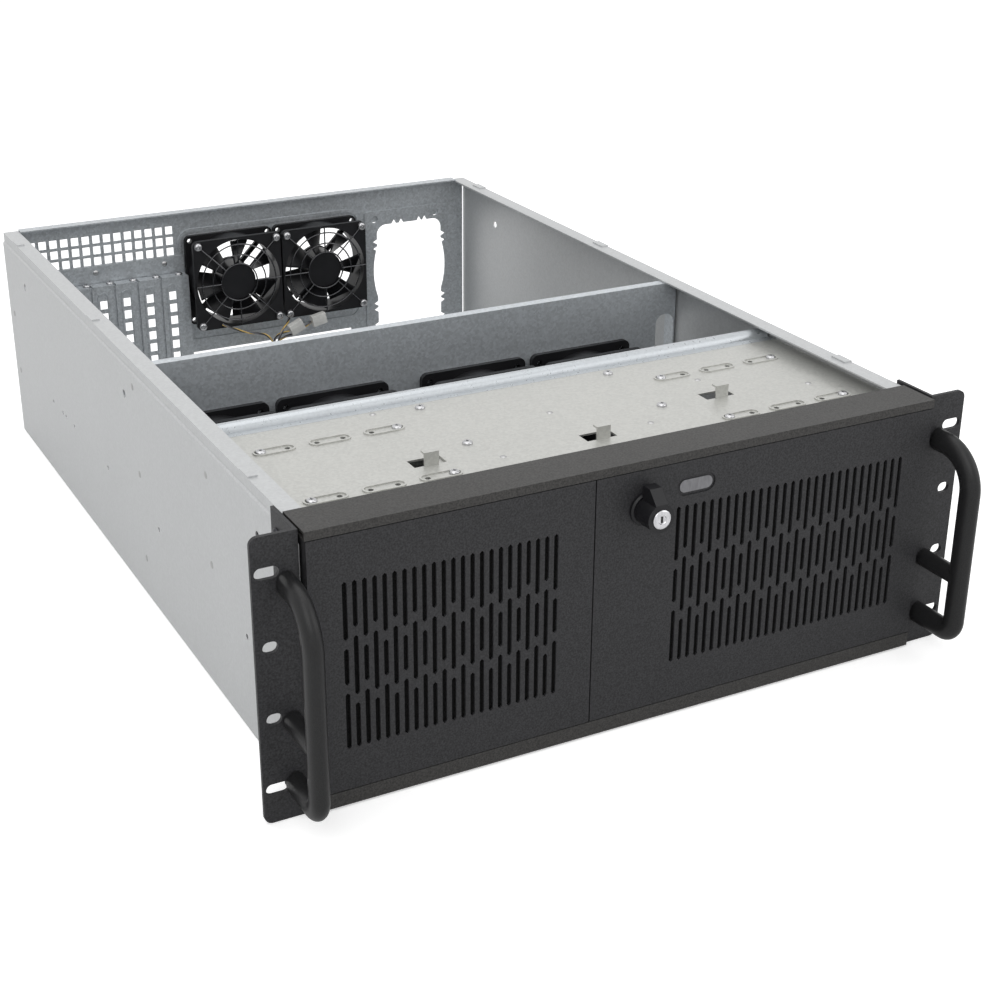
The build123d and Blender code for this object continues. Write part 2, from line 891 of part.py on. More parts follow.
# Badge plate: a bare pill-shaped plate in the recess of the right door
with BuildPart() as badge_plate:
    with BuildSketch(facing_plane(door_front + badge_recess)):
        with Locations((badge_across, badge_height)):
            SlotOverall(badge_plate_length, badge_plate_tall)
    extrude(amount=badge_plate_thick)
finish_piece(badge_plate, "badge_plate")

# Lock: a base ring on the door, a finned knob with its barrel, a key cylinder and a cam
base_front = door_front - lock_base_thick
knob_back = base_front - close_gap
knob_front = knob_back - knob_reach
cam_front = front_y + cam_back
with BuildPart() as lock_base:
    with BuildSketch(facing_plane(door_front)):
        with Locations((lock_across, lock_height)):
            Circle(lock_base_radius)
            Circle(barrel_radius + close_gap, mode=Mode.SUBTRACT)
    extrude(amount=lock_base_thick)
    chamfer(lock_base.faces().sort_by(Axis.Y)[0].outer_wire().edges(), lock_base_thick / 3)
finish_piece(lock_base, "lock_base")

with BuildPart() as lock_knob:
    with BuildSketch(facing_plane(cam_front)):
        with Locations((lock_across, lock_height)):
            Circle(barrel_radius)
    extrude(amount=cam_front - knob_back)
    with BuildSketch(facing_plane(knob_back)):
        with Locations((lock_across, lock_height)):
            Circle(knob_radius)
    extrude(amount=knob_reach)
    with BuildSketch(side_plane(lock_across - knob_fin_width / 2)):
        with BuildLine():
            Polyline(
                (knob_back, lock_height),
                (knob_back, lock_height + knob_fin_length),
                (knob_back - knob_reach / 2, lock_height + knob_fin_length),
                (knob_front, lock_height + knob_radius),
                (knob_front, lock_height),
                close=True,
            )
        make_face()
    extrude(amount=knob_fin_width)
    with BuildSketch(facing_plane(knob_front + cylinder_proud)):
        with Locations((lock_across, lock_height)):
            Circle(cylinder_radius)
    extrude(amount=cylinder_proud, mode=Mode.SUBTRACT)
finish_piece(lock_knob, "lock_knob")

with BuildPart() as key_cylinder:
    with BuildSketch(facing_plane(knob_front + cylinder_proud)):
        with Locations((lock_across, lock_height)):
            Circle(cylinder_radius - cylinder_gap)
    extrude(amount=2 * cylinder_proud)
    with BuildSketch(facing_plane(knob_front + cylinder_proud / 2)):
        with Locations((lock_across, lock_height)):
            Rectangle(key_slot_width, key_slot_length)
    extrude(amount=2 * cylinder_proud, mode=Mode.SUBTRACT)
finish_piece(key_cylinder, "key_cylinder")

with BuildPart() as lock_cam:
    draw_box(
        (lock_across - cam_width / 2, lock_across + cam_width / 2),
        (cam_front, cam_front + cam_thick),
        (lock_height - barrel_radius, lock_height + cam_length),
    )
finish_piece(lock_cam, "lock_cam")

# Inner front panel: bay openings, button holes and the catch for the lock's cam
panel_front = front_y + front_panel_back - sheet
panel_back = front_y + front_panel_back
panel_half = frame_half - thick_sheet - seat_gap
with BuildPart() as front_panel:
    with BuildSketch(facing_plane(panel_back)):
        panel_low = sill_bottom + thick_sheet + seat_gap
        panel_high = cap_top - thick_sheet - seat_gap
        with Locations((0, (panel_low + panel_high) / 2)):
            Rectangle(2 * panel_half, panel_high - panel_low)
        with Locations((0, bay_low + small_bay_height / 2)):
            with GridLocations(2 * small_bay_across, 0, 2, 1):
                Rectangle(small_bay_width, small_bay_height, mode=Mode.SUBTRACT)
        with Locations((0, bay_low + wide_bay_height / 2)):
            Rectangle(wide_bay_width, wide_bay_height, mode=Mode.SUBTRACT)
        for height, radius in ((power_height, power_radius), (reset_height, reset_radius)):
            with Locations((button_across, height)):
                Circle(radius + close_gap, mode=Mode.SUBTRACT)
    extrude(amount=sheet)
    catch_left = door_seam + seam_gap / 2 + thick_sheet + strike_gap
    catch_low = bay_low + wide_bay_height + strike_gap
    catch_back = cam_front - strike_gap
    draw_box(
        (catch_left, catch_left + thick_sheet),
        (catch_back - thick_sheet, panel_front),
        (catch_low, catch_low + strike_height),
    )
    draw_box(
        (catch_left, catch_left + strike_reach),
        (catch_back - thick_sheet, catch_back),
        (catch_low, catch_low + strike_height),
    )
finish_piece(front_panel, "front_panel")

# Bay covers: three blank covers that fill the wide bay's opening
with BuildPart() as bay_covers:
    bay_tall = wide_bay_height / wide_bays
    for index in range(wide_bays):
        with BuildSketch(facing_plane(panel_back)):
            with Locations((0, bay_low + (index + 0.5) * bay_tall)):
                Rectangle(wide_bay_width - 2 * seat_gap, bay_tall - 2 * seat_gap)
        extrude(amount=bay_cover_thick)
        with BuildSketch(facing_plane(panel_back - bay_cover_thick + bay_cover_recess)):
            with Locations((0, bay_low + (index + 0.5) * bay_tall)):
                Rectangle(wide_bay_width - bay_cover_border, bay_tall - bay_cover_border)
        extrude(amount=bay_cover_recess, mode=Mode.SUBTRACT)
finish_piece(bay_covers, "bay_covers")


def make_button(label, height, radius):
    """A push button: a cap through the panel and a wider foot that keeps it in the switch block."""
    foot_front = panel_back + close_gap
    with BuildPart() as button:
        with BuildSketch(facing_plane(foot_front)):
            with Locations((button_across, height)):
                Circle(radius)
        extrude(amount=button_proud + sheet + close_gap)
        with BuildSketch(facing_plane(foot_front + button_foot)):
            with Locations((button_across, height)):
                Circle(radius + button_rim)
        extrude(amount=button_foot)
    finish_piece(button, label)


make_button("power_button", power_height, power_radius)
make_button("reset_button", reset_height, reset_radius)

# Switch block: it carries both buttons behind the panel
with BuildPart() as switch_block:
    block_front = panel_back
    block_half = power_radius + button_rim + close_gap + switch_wall
    draw_box(
        (button_across - block_half, button_across + block_half),
        (block_front, block_front + switch_depth),
        (reset_height - block_half, power_height + block_half),
    )
    for height, radius in ((power_height, power_radius), (reset_height, reset_radius)):
        cavity = button_foot + button_travel + 2 * close_gap
        with BuildSketch(facing_plane(block_front + cavity)):
            with Locations((button_across, height)):
                Circle(radius + button_rim + close_gap)
        extrude(amount=cavity, mode=Mode.SUBTRACT)
finish_piece(switch_block, "switch_block")

# Drive deck: a plate with pressed ovals, screw holes and three upstanding hooks
deck_half = wall_inside - close_gap
deck_front = frame_back + close_gap
deck_back = front_y + deck_end
oval_columns = [
    side * (small_bay_across + step * oval_pitch) for side in (-1, 1) for step in (-1, 0, 1)
]
with BuildPart() as deck:
    draw_box(mirrored(deck_half), (deck_front, deck_back), (deck_top - sheet, deck_top))
    for side in (-1, 1):
        draw_box(
            side_span(side, deck_half - sheet, deck_half),
            (deck_front, deck_back),
            (deck_top - deck_flange, deck_top),
        )
    oval_places = [(x, front_y + row) for x in oval_columns for row in oval_rows]
    with BuildSketch(Plane.XY.offset(deck_top)):
        with Locations(*oval_places):
            SlotOverall(oval_length, oval_width)
            SlotOverall(oval_length - 2 * oval_wall, oval_width - 2 * oval_wall, mode=Mode.SUBTRACT)
    extrude(amount=oval_proud)
    with BuildSketch(Plane.XY.offset(deck_top)):
        with Locations(*oval_places):
            with GridLocations(oval_hole_pitch, 0, 2, 1):
                RegularPolygon(screw_shank_radius + seat_gap, 8)
        with Locations(*[(x, front_y + row) for x in (-cage_screw_across, cage_screw_across)
                         for row in cage_screw_rows]):
            RegularPolygon(screw_shank_radius + seat_gap, 8)
    extrude(amount=-sheet, mode=Mode.SUBTRACT)
    for hook_x, hook_row in hook_places:
        hook_y = front_y + hook_row
        draw_box(
            (hook_x - hook_hole_length / 2, hook_x + hook_hole_length / 2),
            (hook_y, hook_y + hook_hole_width),
            (deck_top - sheet, deck_top),
            mode=Mode.SUBTRACT,
        )
        draw_box(
            (hook_x - hook_width / 2, hook_x + hook_width / 2),
            (hook_y - sheet, hook_y),
            (deck_top, deck_top + hook_height),
        )
        draw_box(
            (hook_x - hook_width / 2, hook_x + hook_width / 2),
            (hook_y - sheet, hook_y + hook_lip),
            (deck_top + hook_height - sheet, deck_top + hook_height),
        )
finish_piece(deck, "deck")

# Cross bar: a ledge behind the deck, a rolled edge and a skirt below it
bar_half = strip_inside - close_gap
roll_y = front_y + bar_roll_middle
roll_height = deck_top - sheet
with BuildPart() as cross_bar:
    with BuildSketch(side_plane(-bar_half)):
        with Locations((roll_y, roll_height)):
            Circle(bar_roll_radius)
            Circle(bar_roll_radius - sheet, mode=Mode.SUBTRACT)
        with Locations((roll_y, roll_height - bar_roll_radius)):
            Rectangle(4 * bar_roll_radius, 2 * bar_roll_radius, mode=Mode.SUBTRACT)
        ledge_start = deck_back + seat_gap
        ledge_end = roll_y - bar_roll_radius + sheet
        with Locations(((ledge_start + ledge_end) / 2, roll_height + sheet / 2)):
            Rectangle(ledge_end - ledge_start, sheet)
        with Locations((roll_y + bar_roll_radius - sheet / 2, roll_height - bar_skirt / 2)):
            Rectangle(sheet, bar_skirt)
    extrude(amount=2 * bar_half)
finish_piece(cross_bar, "cross_bar")


def make_cage(label, middle_x, bay_width, length):
    """A drive cage: a folded channel hung under the deck by two inward flanges."""
    cage_half = bay_width / 2 + cage_play + cage_sheet
    cage_low = bay_low - cage_play - cage_sheet
    cage_high = deck_top - sheet - seat_gap
    with BuildPart() as cage:
        with BuildSketch(facing_plane(front_y + cage_start + length)):
            with Locations((middle_x, 0)):
                with BuildLine():
                    Polyline(
                        (middle_x - cage_half, cage_low),
                        (middle_x + cage_half, cage_low),
                        (middle_x + cage_half, cage_high),
                        (middle_x + cage_half - cage_flange, cage_high),
                        (middle_x + cage_half - cage_flange, cage_high - cage_sheet),
                        (middle_x + cage_half - cage_sheet, cage_high - cage_sheet),
                        (middle_x + cage_half - cage_sheet, cage_low + cage_sheet),
                        (middle_x - cage_half + cage_sheet, cage_low + cage_sheet),
                        (middle_x - cage_half + cage_sheet, cage_high - cage_sheet),
                        (middle_x - cage_half + cage_flange, cage_high - cage_sheet),
                        (middle_x - cage_half + cage_flange, cage_high),
                        (middle_x - cage_half, cage_high),
                        close=True,
                    )
            make_face()
        extrude(amount=length)
        with BuildSketch(side_plane(middle_x - cage_half - cage_sheet)):
            with Locations((front_y + cage_start + length / 2, (cage_low + cage_high) / 2)):
                with GridLocations(length / 2, cage_slot_pitch, 2, cage_slots):
                    Rectangle(cage_slot_length, cage_slot_tall)
        extrude(amount=2 * cage_half + 2 * cage_sheet, mode=Mode.SUBTRACT)
    finish_piece(cage, label)


make_cage("cage_left", -small_bay_across, small_bay_width, cage_length)
make_cage("cage_right", small_bay_across, small_bay_width, cage_length)
make_cage("bay_cage", 0, wide_bay_width, cage_length)

make_screws(
    "deck_screws",
    [
        ((side * (small_bay_across + end * oval_pitch) + end * side * oval_hole_pitch / 2,
          front_y + row, deck_top), (0, 0, 1))
        for side in (-1, 1)
        for end in (-1, 1)
        for row in oval_rows
    ]
    + [
        ((side * cage_screw_across, front_y + row, deck_top), (0, 0, 1))
        for side in (-1, 1)
        for row in cage_screw_rows
    ],
)

# Middle wall: a folded sheet with four fan openings and a cable cut-out at its right end
mid_front = front_y + mid_wall_front
mid_half = strip_inside - close_gap
mid_fans = [
    mid_fans_middle + side * (mid_pair_gap / 2 + mid_fan_pitch) + end * mid_fan_pitch / 2
    for side in (-1, 1)
    for end in (-1, 1)
]
with BuildPart() as mid_wall:
    with BuildSketch(facing_plane(mid_front + sheet)):
        with Locations((0, (sheet + seat_gap + mid_wall_top) / 2)):
            Rectangle(2 * mid_half, mid_wall_top - sheet - seat_gap)
        cut_height = cable_cut_top - cable_cut_low
        cut_middle = mid_half - sheet - cable_cut_width / 2
        with Locations((cut_middle, cable_cut_low + cut_height / 2)):
            RectangleRounded(cable_cut_width, cut_height, cable_cut_radius, mode=Mode.SUBTRACT)
        for place in mid_fans:
            with Locations((place, mid_fan_height)):
                Circle(fan_bore, mode=Mode.SUBTRACT)
    extrude(amount=sheet)
    draw_box(
        mirrored(rail_edge - close_gap),
        (mid_front, mid_front + mid_wall_flange),
        (mid_wall_top - sheet, mid_wall_top),
    )
    draw_box(
        mirrored(mid_half),
        (mid_front, mid_front + deck_flange),
        (sheet + seat_gap, 2 * sheet + seat_gap),
    )
    for side in (-1, 1):
        draw_box(
            side_span(side, mid_half - sheet, mid_half),
            (mid_front, mid_front + deck_flange),
            (sheet + seat_gap, mid_wall_top),
        )
finish_piece(mid_wall, "mid_wall")


def make_fan_frame(label, fan_x, fan_z, fan_front, width):
    """A fan frame: two square flanges on a round duct, with struts that hold the motor plate."""
    fan_back = fan_front + fan_depth
    with BuildPart() as frame:
        for face in (fan_front + fan_flange, fan_back):
            with BuildSketch(facing_plane(face)):
                with Locations((fan_x, fan_z)):
                    RectangleRounded(width, width, fan_corner)
                    Circle(fan_bore, mode=Mode.SUBTRACT)
                    with GridLocations(fan_screw_spacing, fan_screw_spacing, 2, 2):
                        RegularPolygon(fan_screw_radius, 8, mode=Mode.SUBTRACT)
            extrude(amount=fan_flange)
        with BuildSketch(facing_plane(fan_back - fan_flange)):
            with Locations((fan_x, fan_z)):
                Circle(fan_bore + duct_wall)
                Circle(fan_bore, mode=Mode.SUBTRACT)
        extrude(amount=fan_depth - 2 * fan_flange)
        with BuildSketch(facing_plane(fan_back)):
            with Locations((fan_x, fan_z)):
                Circle(motor_radius)
                with PolarLocations((motor_radius + fan_bore) / 2, fan_struts, start_angle=45):
                    Rectangle(fan_bore - motor_radius + 2 * duct_wall, strut_width)
        extrude(amount=motor_plate)
        with BuildSketch(facing_plane(fan_back - motor_plate)):
            with Locations((fan_x, fan_z)):
                Circle(spindle_radius)
        extrude(amount=spindle_length)
    finish_piece(frame, label)


def make_fan_rotor(label, fan_x, fan_z, fan_front, phase):
    """A fan rotor: a hub with twisted blades that runs on the frame's spindle."""
    rotor_front = fan_front + rotor_end_gap
    rotor_back = fan_front + fan_depth - motor_plate - rotor_end_gap
    blade_front = rotor_front + blade_setback
    blade_back = rotor_back - blade_setback
    blade_reach = fan_bore - blade_tip_gap - hub_radius + blade_root
    blade_middle = hub_radius - blade_root + blade_reach / 2
    with BuildPart() as rotor:
        with BuildSketch(facing_plane(rotor_back)):
            with Locations((fan_x, fan_z)):
                Circle(hub_radius)
        extrude(amount=rotor_back - rotor_front)
        with BuildSketch(facing_plane(rotor_back)):
            with Locations((fan_x, fan_z)):
                Circle(spindle_radius + spindle_gap)
        extrude(amount=spindle_length, mode=Mode.SUBTRACT)
        for index in range(blade_count):
            angle = phase + index * 360 / blade_count
            for y, turn in ((blade_back, angle), (blade_front, angle + blade_twist)):
                with BuildSketch(facing_plane(y)):
                    with Locations((fan_x, fan_z)):
                        with PolarLocations(blade_middle, 1, start_angle=turn):
                            Rectangle(blade_reach, blade_thick)
            loft(ruled=True)
    finish_piece(rotor, label)


def make_finger_guard(label, fan_x, fan_z, fan_front):
    """A wire finger guard: three rings on radial wires, four of them longer, to the screws."""
    with BuildPart() as guard:
        with BuildSketch(facing_plane(fan_front)):
            with Locations((fan_x, fan_z)):
                for radius in guard_rings:
                    Circle(radius + guard_wire / 2)
                    Circle(radius - guard_wire / 2, mode=Mode.SUBTRACT)
        extrude(amount=guard_wire)
        with BuildSketch(facing_plane(fan_front)):
            with Locations((fan_x, fan_z)):
                short_wire = fan_bore + guard_overlap - guard_rings[0]
                with PolarLocations(guard_rings[0] + short_wire / 2, 4):
                    Rectangle(short_wire, guard_wire)
                screw_distance = fan_screw_spacing / sqrt(2)
                long_wire = screw_distance - screw_head_radius - guard_rings[0]
                with PolarLocations(guard_rings[0] + long_wire / 2, 4, start_angle=45):
                    Rectangle(long_wire, guard_wire)
                with GridLocations(fan_screw_spacing, fan_screw_spacing, 2, 2):
                    Circle(screw_head_radius + guard_wire / 2)
                    Circle(fan_screw_radius, mode=Mode.SUBTRACT)
        extrude(amount=guard_wire)
    finish_piece(guard, label)


def corner_screws(fan_x, fan_z, seat_y):
    """The four screw places of one fan, facing the front."""
    half = fan_screw_spacing / 2
    return [
        ((fan_x + across * half, seat_y, fan_z + up * half), (0, -1, 0))
        for across in (-1, 1)
        for up in (-1, 1)
    ]


rear_fan_front = wall_plane - close_gap - fan_depth
mid_fan_front = mid_front - close_gap - fan_depth
rear_fans = [rear_fans_middle + side * rear_fan_pitch / 2 for side in (-1, 1)]
fan_screw_places = []
for index, place in enumerate(rear_fans):
    number = index + 1
    make_fan_frame(f"rear_fan_frame_{number}", place, rear_fan_height, rear_fan_front, fan_size)
    make_fan_rotor(f"rear_fan_rotor_{number}", place, rear_fan_height, rear_fan_front, 12 + 20 * index)
    make_finger_guard(f"finger_guard_{number}", place, rear_fan_height, rear_fan_front)
    fan_screw_places += corner_screws(place, rear_fan_height, rear_fan_front - guard_wire)
for index, place in enumerate(mid_fans):
    number = index + 1
    holder_size = fan_size + 2 * holder_margin
    make_fan_frame(f"mid_fan_frame_{number}", place, mid_fan_height, mid_fan_front, holder_size)
    make_fan_rotor(f"mid_fan_rotor_{number}", place, mid_fan_height, mid_fan_front, 17 * index)
    fan_screw_places += corner_screws(place, mid_fan_height, mid_fan_front)
make_screws("fan_screws", fan_screw_places)

# Standoffs: hexagonal posts for the main board
with BuildPart() as standoffs:
    with BuildSketch(Plane.XY.offset(sheet)):
        with Locations(*[(x, rear_y - row) for x in standoff_columns for row in standoff_rows]):
            RegularPolygon(standoff_radius, 6)
            Circle(standoff_hole, mode=Mode.SUBTRACT)
    extrude(amount=standoff_height)
finish_piece(standoffs, "standoffs")

# Leads of the rear fans: points given from the low middle of the two fans' front faces
lead_origin = Vector(rear_fans_middle, rear_fan_front, rear_fan_height - fan_size / 2)


def bend_radii(points):
    """Radii that round each corner of a lead over a fixed share of its shorter run."""
    radii = []
    for before, corner, after in zip(points, points[1:], points[2:]):
        come = corner - before
        leave = after - corner
        turn = radians(come.get_angle(leave))
        radii.append(bend_share * min(come.length, leave.length) / tan(turn / 2))
    return radii


def make_lead(label, path):
    """A round lead along a rounded path, with its bends, length and volume printed."""
    points = [lead_origin + Vector(*offset) for offset in path]
    radii = bend_radii(points)
    with BuildPart() as lead:
        with BuildLine() as lead_line:
            FilletPolyline(*points, radius=radii)
        whole_path = lead_line.wire()
        with BuildSketch(Plane(origin=whole_path @ 0, z_dir=whole_path % 0)):
            Circle(lead_radius)
        sweep(path=whole_path)
    print(label, "radii", [round(radius, 1) for radius in radii])
    print(label, "length", round(whole_path.length, 1), "volume", round(lead.part.volume, 1))
    finish_piece(lead, label)


make_lead("fan_lead_1", left_lead_path)
make_lead("fan_lead_2", right_lead_path)

# Lead tie: a ring round the leads where they are gathered
with BuildPart() as lead_tie:
    with BuildSketch(Plane.XY.offset(lead_origin.Z + tie_low)):
        with Locations((lead_origin.X + tie_place[0], lead_origin.Y + tie_place[1])):
            Circle(tie_radius)
            Circle(tie_radius - tie_thick, mode=Mode.SUBTRACT)
    extrude(amount=tie_tall)
finish_piece(lead_tie, "lead_tie")

# Lead plugs: two plain connector housings
with BuildPart() as lead_plugs:
    for offset, turn in plug_places:
        middle = lead_origin + Vector(*offset)
        with Locations(Location(tuple(middle), (0, -turn, 0))):
            Box(plug_length, plug_deep, plug_tall)
finish_piece(lead_plugs, "lead_plugs")
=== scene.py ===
"""Dresses the open rackmount server case: finishes, screws, rivets, wire guards, leads and a studio."""

import math

import bmesh
import bpy
from mathutils import Matrix, Vector


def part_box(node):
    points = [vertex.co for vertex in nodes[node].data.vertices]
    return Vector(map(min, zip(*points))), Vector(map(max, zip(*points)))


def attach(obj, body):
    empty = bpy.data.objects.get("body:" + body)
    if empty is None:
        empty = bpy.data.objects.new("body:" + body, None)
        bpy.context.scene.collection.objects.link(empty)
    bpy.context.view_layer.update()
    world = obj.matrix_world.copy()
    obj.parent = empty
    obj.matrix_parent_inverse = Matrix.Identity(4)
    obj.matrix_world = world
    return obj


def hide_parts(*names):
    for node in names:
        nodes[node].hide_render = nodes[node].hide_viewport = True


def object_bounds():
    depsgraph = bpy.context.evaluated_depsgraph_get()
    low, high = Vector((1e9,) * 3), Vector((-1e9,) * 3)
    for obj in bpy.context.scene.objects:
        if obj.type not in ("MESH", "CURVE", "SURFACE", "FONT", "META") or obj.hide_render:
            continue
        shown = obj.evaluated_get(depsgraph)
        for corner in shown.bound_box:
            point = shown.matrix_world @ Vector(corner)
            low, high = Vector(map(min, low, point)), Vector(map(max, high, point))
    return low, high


bl_info = {
    "name": "Rackmount Server Case Dressing",
    "version": (1, 0, 0),
    "blender": (4, 5, 0),
    "location": "View3D > Sidebar > Server Case",
    "description": "Finishes and fine pieces for an open 4U rackmount server case",
    "category": "Object",
}

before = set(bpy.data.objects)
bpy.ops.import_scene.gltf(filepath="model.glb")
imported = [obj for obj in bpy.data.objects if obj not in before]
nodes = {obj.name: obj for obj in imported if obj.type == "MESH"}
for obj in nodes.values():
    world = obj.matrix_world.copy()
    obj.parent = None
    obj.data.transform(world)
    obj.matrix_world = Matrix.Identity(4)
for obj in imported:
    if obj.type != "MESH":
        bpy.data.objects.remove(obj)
cad_low, cad_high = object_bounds()

mm = 0.001

# Places read from the frame
wall_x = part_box("chassis_pan")[1].x
rear_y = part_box("chassis_pan")[1].y
panel_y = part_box("ear_left")[0].y
deck_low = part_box("deck")[0]

STEEL_OUTSIDE = ["chassis_pan"]
STEEL_INSIDE = ["rear_wall", "supply_plate", "slot_bracket"]
STEEL_INSIDE += [f"slot_cover_{number}" for number in range(1, 8)]
STEEL_DECK = ["deck", "cage_left", "cage_right", "bay_cage"]
PAINTED = ["front_panel", "bay_covers", "ear_left", "ear_right", "door_left", "door_right"]
BARS = ["handle_left", "handle_right"]
PLASTIC = ["switch_block", "power_button", "reset_button", "lock_base", "lock_knob"]
FAN_PLASTIC = [f"mid_fan_frame_{number}" for number in range(1, 5)]
FAN_PLASTIC += [f"rear_fan_frame_{number}" for number in range(1, 3)]
FAN_BLADES = [f"mid_fan_rotor_{number}" for number in range(1, 5)]
FAN_BLADES += [f"rear_fan_rotor_{number}" for number in range(1, 3)]

# Routes of the fan leads, in millimetres from the low middle of the rear fans' front faces
left_fan_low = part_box("rear_fan_frame_1")[0]
right_fan_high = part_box("rear_fan_frame_2")[1]
lead_origin = Vector(((left_fan_low.x + right_fan_high.x) / 2, left_fan_low.y, left_fan_low.z))
LEFT_LEAD = (
    (-58.1, -0.6, 3.5),
    (-53.3, -10.0, 2.0),
    (-37.3, -11.5, -4.5),
    (-22.3, -12.5, -7.0),
    (-15.9, -13.1, -16.5),
    (-15.9, -13.1, -24.5),
    (-19.8, -12.5, -34.5),
    (-24.3, -11.5, -44.0),
    (-21.3, -10.9, -52.4),
    (-13.9, -10.5, -53.0),
    (-10.3, -10.0, -45.0),
    (-10.8, -9.5, -34.5),
    (-15.3, -10.2, -24.5),
    (-15.3, -10.2, -15.5),
    (-9.8, -8.5, -9.5),
    (-0.3, -11.2, -7.9),
)
RIGHT_LEAD = (
    (6.7, 5.5, -1.4),
    (1.2, -4.0, -2.4),
    (-8.8, -12.9, -7.5),
    (-12.7, -13.3, -16.5),
    (-12.7, -13.3, -24.5),
    (-13.3, -13.9, -33.5),
    (-12.9, -14.7, -43.5),
    (-9.9, -15.1, -52.2),
    (-2.7, -14.9, -52.2),
    (1.1, -14.5, -44.5),
    (-4.5, -12.9, -34.0),
    (-12.1, -10.6, -24.5),
    (-12.1, -10.6, -16.5),
    (-4.3, -7.9, -14.0),
    (5.7, -5.3, -13.5),
    (13.7, -7.5, -9.0),
    (20.7, -11.1, -2.7),
)
# Share of a lead's radius that one of its three wires takes, and the length of one turn
WIRE_SHARE = 0.56
WIRE_PITCH = 26.0 * mm
# Wire of the wrap round the leads, and how many turns it takes
WRAP_WIRE = 0.6 * mm
WRAP_TURNS = 4
# Size of a plug's housing, its socket's depth, and how far each plug is turned up, in degrees
PLUG_SIZE = (13.0, 7.0, 10.0)
SOCKET_DEPTH = 5.0 * mm
PLUG_TURNS = (25.0, 12.0)

# Height of the drive deck's top above its lowest edge
DECK_RISE = 12.0 * mm
# Rivets of the deck: across from the middle and back from the front, in millimetres
DECK_RIVETS = (
    (-100.5, 158.0),
    (178.0, 78.5),
    (47.5, 66.5),
    (116.5, 117.0),
    (0.0, 110.0),
    (-60.0, 60.0),
)
# Rivets above the slot bracket: places across, depth of their seat and height, in millimetres
SLOT_RIVETS = (-140.0, -79.4)
SLOT_RIVET_SEAT = 3.6
SLOT_RIVET_HEIGHT = 131.9
# Rivets of the side walls: heights of each row, by its distance back from the front, in millimetres
WALL_RIVETS = {
    295.0: (158.0, 94.7, 31.3),
    150.0: (150.0, 90.0),
    30.0: (130.0, 60.0),
    636.0: (60.0, 110.0),
}

# Finger guards: radii of the rings, how far the upright and level rods reach, the fan screws' distance in
# from the frame's side, and the radius and seat of the eyes round them
GUARD_RINGS = (16.5 * mm, 24.5 * mm, 34.0 * mm)
GUARD_REACH = 39.0 * mm
SCREW_INSET = 4.1 * mm
EYE_RADIUS = 3.2 * mm
EYE_SEAT = 3.3 * mm

SCREW_HEAD_HEIGHT = 1.9 * mm
# Size of the keyway and how far its middle lies behind the cylinder's face
KEYWAY = (1.3 * mm, 0.4 * mm, 4.0 * mm)
KEYWAY_SEAT = 0.75 * mm

# Studio: light from the sky, glow of the floor in the camera's view, and each lamp's place and size in metres
# and its power in watts
SKY_LIGHT = 0.62
FLOOR_GLOW = 0.45
LAMPS = {
    "key_lamp": ((-1.6, -1.8, 2.4), 2.4, 26.0),
    "fill_lamp": ((1.9, -1.6, 1.6), 2.0, 12.0),
    "top_lamp": ((0.0, 0.3, 2.6), 2.6, 20.0),
}
LAMP_AIM = (0.0, 0.0, 0.08)
# Camera: its place from the middle of the front's foot in millimetres, and its angles in degrees
CAMERA_PLACE = (-507.0, -770.0, 562.0)
CAMERA_AZIMUTH = -28.2
CAMERA_ELEVATION = 24.22
CAMERA_ROLL = 0.4


# Materials


def new_material(name, colour, metallic, roughness):
    """A material with a principled shader and its object coordinates, ready for a pattern."""
    material = bpy.data.materials.new(name)
    material.use_nodes = True
    tree = material.node_tree
    shader = tree.nodes["Principled BSDF"]
    shader.inputs["Base Color"].default_value = (*colour, 1.0)
    shader.inputs["Metallic"].default_value = metallic
    shader.inputs["Roughness"].default_value = roughness
    coordinates = tree.nodes.new("ShaderNodeTexCoord")
    return material, tree, shader, coordinates


def tint_between(tree, shader, pattern, dark, light, low=0.35, high=0.65):
    """Drives the base colour between two tints by a pattern's strength."""
    ramp = tree.nodes.new("ShaderNodeValToRGB")
    ramp.color_ramp.elements[0].position = low
    ramp.color_ramp.elements[1].position = high
    ramp.color_ramp.elements[0].color = (*dark, 1.0)
    ramp.color_ramp.elements[1].color = (*light, 1.0)
    tree.links.new(pattern, ramp.inputs["Fac"])
    tree.links.new(ramp.outputs["Color"], shader.inputs["Base Color"])


def vary_roughness(tree, shader, pattern, low, high):
    """Drives the roughness between two values by a pattern's strength."""
    spread = tree.nodes.new("ShaderNodeMapRange")
    spread.inputs["To Min"].default_value = low
    spread.inputs["To Max"].default_value = high
    tree.links.new(pattern, spread.inputs["Value"])
    tree.links.new(spread.outputs["Result"], shader.inputs["Roughness"])


def raise_grain(tree, shader, pattern, strength, height):
    """Adds a bump of this real height to the surface."""
    bump = tree.nodes.new("ShaderNodeBump")
    bump.inputs["Strength"].default_value = strength
    bump.inputs["Distance"].default_value = height
    tree.links.new(pattern, bump.inputs["Height"])
    tree.links.new(bump.outputs["Normal"], shader.inputs["Normal"])


def noise(tree, coordinates, scale, detail=4.0, stretch=(1.0, 1.0, 1.0)):
    """A noise pattern whose scale is in cycles per metre, stretched along the axes."""
    mapping = tree.nodes.new("ShaderNodeMapping")
    mapping.inputs["Scale"].default_value = stretch
    texture = tree.nodes.new("ShaderNodeTexNoise")
    texture.inputs["Scale"].default_value = scale
    texture.inputs["Detail"].default_value = detail
    tree.links.new(coordinates.outputs["Object"], mapping.inputs["Vector"])
    tree.links.new(mapping.outputs["Vector"], texture.inputs["Vector"])
    return texture.outputs["Fac"]


def shade(colour, factor):
    """The same colour, lighter or darker."""
    return tuple(min(1.0, channel * factor) for channel in colour)


